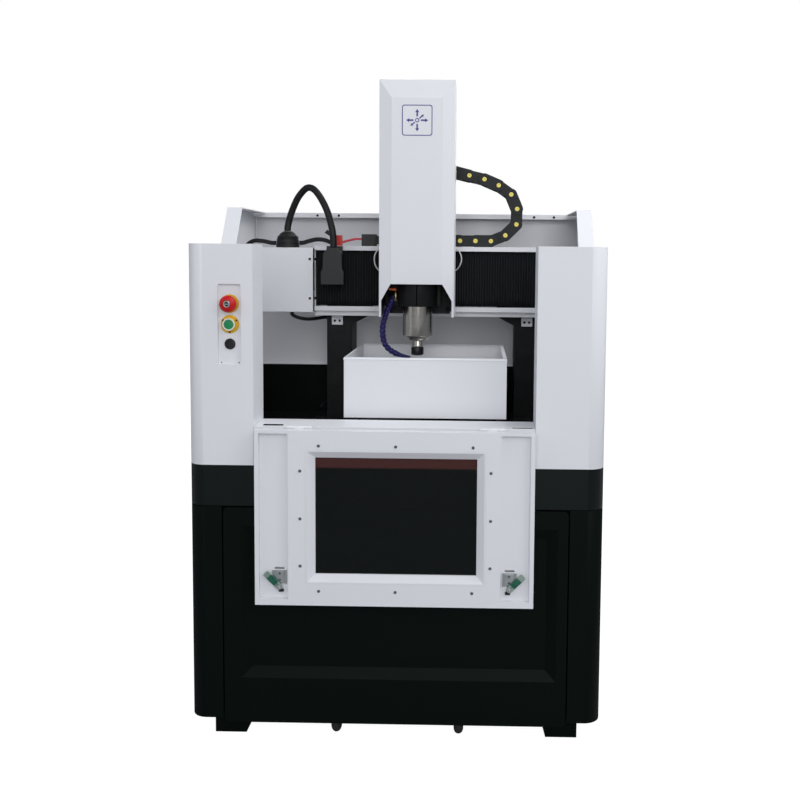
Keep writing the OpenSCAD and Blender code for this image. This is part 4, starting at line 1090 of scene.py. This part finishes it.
class MILL_OT_leads(bpy.types.Operator):
    """Lays the leads on the beam, finishes their plugs and hood, and rings the rubber boot."""

    bl_idname = "mill.leads"
    bl_label = "Leads"

    # routes in millimetres: across, back from the front of the columns, and up; each thin tube adds its own
    # distance back
    ARCH = [(-352, 500, 1247.2), (-352, 500, 1258), (-347, 500, 1280), (-336, 495, 1310), (-320, 486, 1340),
            (-300, 476, 1362), (-285, 470, 1368), (-268, 464, 1360), (-248, 456, 1334), (-230, 448, 1298),
            (-217, 441, 1254), (-213, 440, 1222), (-213, 440, 1201)]
    BOX = [(-340, 500, 1017.3), (-340, 500, 1009), (-324, 506, 1000), (-300, 518, 995), (-276, 540, 996),
           (-260, 562, 998), (-247.2, 562, 998)]
    TOP = [(-318.2, 500, 1214), (-308, 500, 1214), (-288, 500, 1220), (-266, 500, 1224), (-246, 500, 1222),
           (-230, 500, 1216), (-217.6, 500, 1216)]
    SIDE = [(-385.8, 500, 1213), (-398, 500, 1213), (-424, 500, 1218), (-450, 500, 1218), (-470, 501, 1204),
            (-475, 502, 1180), (-468, 505, 1154), (-453, 506, 1143), (-440.6, 506, 1143)]
    THIN = [(-196.4, 0, 1216), (-184, 2, 1220), (-160, 12, 1226), (-142.6, 12, 1226)]
    BOOT, RIBS = (-352, 500, 1200), 6
    # the lowest rib's radius and height, and how much each next one differs
    RIB_RADIUS, RIB_HEIGHT, RIB_SHRINK, RIB_STEP, RIB_DEPTH = 0.0335, 0.008, 0.0006, 0.0045, 0.003
    RED_PLUG = ((-217.5, 488, 1205), (-196.5, 514, 1237))

    def boot_ribs(self):
        """Rings round the lead's rubber boot, each a little smaller than the one below."""
        place, parts = metres([self.BOOT])[0], []
        for k in range(self.RIBS):
            radius, height = self.RIB_RADIUS - self.RIB_SHRINK * k, self.RIB_HEIGHT + self.RIB_STEP * k
            root = radius - self.RIB_DEPTH
            profile = [(root, height - 0.0012), (radius, height - 0.0008), (radius, height + 0.0008),
                       (root, height + 0.0012)]
            points, faces = turned(profile, 40)
            parts.append((points + place, faces))
        piece("boot_ribs", *joined(parts), finish("black_plastic"), "base", slot="black_plastic")

    def execute(self, context):
        thick = [("arch_lead", self.ARCH, 0.0095), ("box_lead", self.BOX, 0.005),
                 ("top_lead", self.TOP, 0.006), ("side_lead", self.SIDE, 0.006)]
        cords = [(name, points, 0, radius, "jacket") for name, points, radius in thick]
        cords += [("thin_" + look, self.THIN, back, 0.003, look)
                  for look, back in (("red_tube", 494), ("nylon", 501), ("blue_tube", 508))]
        for name, points, back, radius, look in cords:
            route = smooth_route(metres(points, back), 8)
            cord(name, route, radius, finish(look), "base", "cable_jacket", "leads")
        dressed("cable_connectors", connector_plastic(metres(self.RED_PLUG)), 0.0012)
        self.boot_ribs()
        return {"FINISHED"}


class MILL_OT_head(bpy.types.Operator):
    """Finishes the head and its spindle, with the axis symbol, hose and thin tubes."""

    bl_idname = "mill.head"
    bl_label = "Head"

    # routes in millimetres: across, back from the front of the columns, and up; LUBE counts across from the
    # head's middle
    HOSE = [(-34, 360, 1073), (-36, 360, 1067), (-43, 361, 1055), (-52, 362, 1037), (-59.5, 364, 1016),
            (-66, 366, 993), (-67.5, 368, 966), (-61, 369, 938), (-44, 369, 920), (-20, 368, 909),
            (9, 366, 903)]
    LUBE = ([(-85.8, 462, 1205), (-98, 462, 1205), (-116, 467, 1199), (-127, 469, 1184), (-129.5, 470, 1167),
             (-125, 473, 1148), (-110, 480, 1133), (-85.8, 480, 1133)],
            [(85.8, 462, 1204), (96, 462, 1204), (108, 467, 1196), (115, 469, 1181), (116, 470, 1168),
             (111, 473, 1152), (100, 480, 1140), (85.8, 480, 1140)])
    # length of one bead and of the nozzle, and the stem's profile of radius and height
    BEAD, NOZZLE = 0.0125, 0.034
    STEM = [(0.0001, -0.022), (0.0042, -0.022), (0.0042, -0.008), (0.0034, -0.006), (0.0034, 0.006),
            (0.0001, 0.006)]

    # half width and corner radius of the symbol's frame, length and width of its arrows, radii of its ring
    FRAME_OUT, FRAME_IN = (0.040, 0.007), (0.0378, 0.0055)
    LONG_ARROW, SHORT_ARROW, RING_OUT, RING_IN = (0.029, 0.0042), (0.023, 0.0032), 0.0056, 0.0034
    # a bolt's radius and height, and where the bolts sit on the spindle mount
    BOLT, BOLT_HALF, BOLT_SINK, BOLT_RISES = (0.0055, 0.005), 0.08, 0.093, (0.008, 0.045)

    def arrow(self, length, width, angle, centre):
        """A shaft and a head from near the centre outwards, turned by an angle."""
        tail, neck = length * 0.34, length * 0.72
        half, wing = width / 2, width * 1.25
        shaft, head = [(tail, -half), (neck, -half)], [(neck, -wing), (length, 0), (neck, wing)]
        shape = np.array([*shaft, *head, (neck, half), (tail, half)])
        c, s = math.cos(angle), math.sin(angle)
        return shape @ np.array([[c, s], [-s, c]]) + centre

    def symbol(self):
        """Axis symbol: three crossed pairs of arrows round a small ring, in a rounded frame."""
        cover, drop, proud, sunk = Span("head_cover"), 0.106, 0.0004, 0.0002
        centre = np.array([cover.mid[0], cover.high[2] - drop])
        face, back = cover.low[1] - proud, cover.low[1] + sunk
        outer, inner = (round_square(*loop) + centre for loop in (self.FRAME_OUT, self.FRAME_IN))
        parts = [band(outer, inner, face, back)]
        for k in range(4):
            parts.append(prism(self.arrow(*self.LONG_ARROW, k * math.pi / 2, centre), face, back))
        for angle in (math.radians(40), math.radians(220)):
            parts.append(prism(self.arrow(*self.SHORT_ARROW, angle, centre), face, back))
        turn = np.linspace(0, 2 * np.pi, 32, endpoint=False)
        circle = np.stack([np.cos(turn), np.sin(turn)], -1)
        parts.append(band(circle * self.RING_OUT + centre, circle * self.RING_IN + centre, face, back))
        piece("axis_symbol", *joined(parts), finish("symbol"), "x_carriage", False, "hose_blue")

    def coolant_hose(self):
        """Beads in a row, each an elliptical swelling of the radius, then a nozzle that tapers evenly."""
        stations, neck, swell, mouth, narrowing = 330, 0.0052, 0.0032, 0.0062, 0.0034
        widest, seat_over_hose = 0.0145, 0.007
        route = smooth_route(metres(self.HOSE), 24)
        run = np.concatenate([[0], np.cumsum(np.linalg.norm(np.diff(route, axis=0), axis=1))])
        even = np.linspace(0, run[-1], stations)
        route = np.stack([np.interp(even, run, route[:, i]) for i in range(3)], -1)
        phase = np.mod(even / self.BEAD, 1)
        bead = neck + swell * np.sqrt(np.clip(1 - (2 * phase - 1) ** 2, 0, 1))
        tip = even > run[-1] - self.NOZZLE
        taper = mouth - narrowing * ((even[tip] - even[tip][0]) / self.NOZZLE)
        end = swept(route[tip], taper, 20)
        nozzle = piece("hose_nozzle", *end, finish("hose"), "z_slide", slot="hose_blue")
        body = ~tip
        body[np.argmax(tip)] = True
        cord("hose_beads", route[body], bead[body], finish("hose"), "z_slide", "hose_blue", "coolant_hose",
             widest)
        return route[0] + [0, 0, seat_over_hose]

    def valve(self, seat):
        """The elbow above the hose, with a brass stem and an orange lever with eased ends."""
        turn, bend_r = np.linspace(0, np.pi / 2, 10), 0.008
        bend = seat + np.stack([0 * turn, bend_r * (1 - np.cos(turn)), bend_r * np.sin(turn) - bend_r], -1)
        arm = np.concatenate([[seat + [0, 0, -0.014]], bend, [seat + [0, 0.0105, 0]]])
        piece("hose_elbow", *swept(arm, 0.0078, 20), finish("dark_steel"), "z_slide", slot="dark_steel")
        stem = placed(turned(self.STEM, 20), [seat + [0.003, -0.0075, 0.0]], (0, 0, 1))
        piece("valve_stem", *stem, finish("brass"), "z_slide", slot="spindle_steel")
        reach = np.linspace(0, 1, 12)[:, None]
        lever = seat + [0.005, -0.0075, 0.008] + reach * [-0.021, 0, 0.0015]
        grip = 0.0036 - 0.0012 * np.abs(2 * reach[:, 0] - 1) ** 6
        piece("valve_lever", *swept(lever, grip, 14), finish("orange"), "z_slide", slot="yellow_plastic")

    def mount_bolts(self, middle):
        """Two cap screws on each side of the spindle mount."""
        mount = Span("spindle_mount")
        spots = [(middle + off, mount.low[1] + self.BOLT_SINK, mount.low[2] + rise)
                 for off in (-self.BOLT_HALF, self.BOLT_HALF) for rise in self.BOLT_RISES]
        bolts = placed(socket_screw(*self.BOLT), spots, (0, -1, 0))
        piece("mount_bolts", *bolts, finish("black_screw"), "z_slide", slot="dark_steel")

    def execute(self, context):
        clamp_rise = 0.016
        clamp_low, middle = Span("spindle_mount").low[2] + clamp_rise, Span("head_cover").mid[0]
        dressed("head_cover", finish("cover"), 0.0022, 3)
        dressed("spindle_body", spindle_skin(clamp_low), 0.0006)
        dressed("spindle_shaft", finish("spindle"), 0.0004)
        dressed("collet_nut", finish("dark_steel"), 0.0005)
        self.symbol()
        self.valve(self.coolant_hose())
        for name, loop in zip(("lube_line_left", "lube_line_right"), self.LUBE):
            route = smooth_route(metres(loop) + [middle, 0, 0], 8)
            cord(name, route, 0.0018, finish("nylon"), "x_carriage", "clear_tube", "lube_tubes")
        self.mount_bolts(middle)
        return {"FINISHED"}


class MILL_OT_casters(bpy.types.Operator):
    """Finishes the casters and turns their crowned wheels."""

    bl_idname = "mill.casters"
    bl_label = "Casters"

    def tyre(self, node):
        """A profile turned about the axle: a recessed hub, a rim step and an elliptical crown."""
        span = Span(node)
        radius, half = span.size[2] / 2, span.size[0] / 2
        swing = np.linspace(0.08, np.pi - 0.08, 15)
        crown = np.stack([radius * (0.52 + 0.48 * np.sin(swing) ** 0.9), -half * np.cos(swing)], -1)
        face, recess = -half * 0.9, -half * 0.7
        hub = [(0.0001, face), (radius * 0.30, face), (radius * 0.34, recess), (radius * 0.50, recess)]
        profile = [*hub, *crown, *[(r, -h) for r, h in hub[::-1]]]
        points, faces = placed(turned(profile, 40), [span.mid], (1, 0, 0))
        rubber = tyre_rubber(node + "_rubber", radius * 0.56, span.mid[1], span.mid[2])
        made = piece(node + "_tyre", points, faces, rubber, BODY_OF[node], slot="tread_rubber")
        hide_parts(node)

    def execute(self, context):
        for node in ("front_left_fork", "front_right_fork", "rear_caster_forks"):
            dressed(node, finish("zinc"), 0.0005)
        for node in ("front_left_wheel", "front_right_wheel", "rear_left_wheel", "rear_right_wheel"):
            self.tyre(node)
        return {"FINISHED"}


OPERATORS = (MILL_OT_stage, MILL_OT_cabinet, MILL_OT_castings, MILL_OT_door, MILL_OT_operator_panel,
             MILL_OT_bellows, MILL_OT_drag_chain, MILL_OT_leads, MILL_OT_head, MILL_OT_casters)


class MILL_PT_panel(bpy.types.Panel):
    """Lists the machine's operators and settings."""

    bl_idname = "MILL_PT_panel"
    bl_label = "Milling machine"
    bl_space_type = "VIEW_3D"
    bl_region_type = "UI"
    bl_category = "Mill"

    def draw(self, context):
        for group in (context.scene.mill_sizes, context.scene.mill_colours):
            for key in group.bl_rna.properties.keys():
                if key not in ("rna_type", "name"):
                    self.layout.prop(group, key)
        for kind in OPERATORS:
            self.layout.operator(kind.bl_idname)


CLASSES = (MILL_PG_sizes, MILL_PG_colours, *OPERATORS, MILL_PT_panel)


def register():
    for kind in CLASSES:
        bpy.utils.register_class(kind)
    bpy.types.Scene.mill_sizes = bpy.props.PointerProperty(type=MILL_PG_sizes)
    bpy.types.Scene.mill_colours = bpy.props.PointerProperty(type=MILL_PG_colours)


def unregister():
    del bpy.types.Scene.mill_colours
    del bpy.types.Scene.mill_sizes
    for kind in reversed(CLASSES):
        bpy.utils.unregister_class(kind)


def main():
    register()
    for kind in OPERATORS:
        group, name = kind.bl_idname.split(".")
        getattr(getattr(bpy.ops, group), name)()


if __name__ == "__main__":
    main()
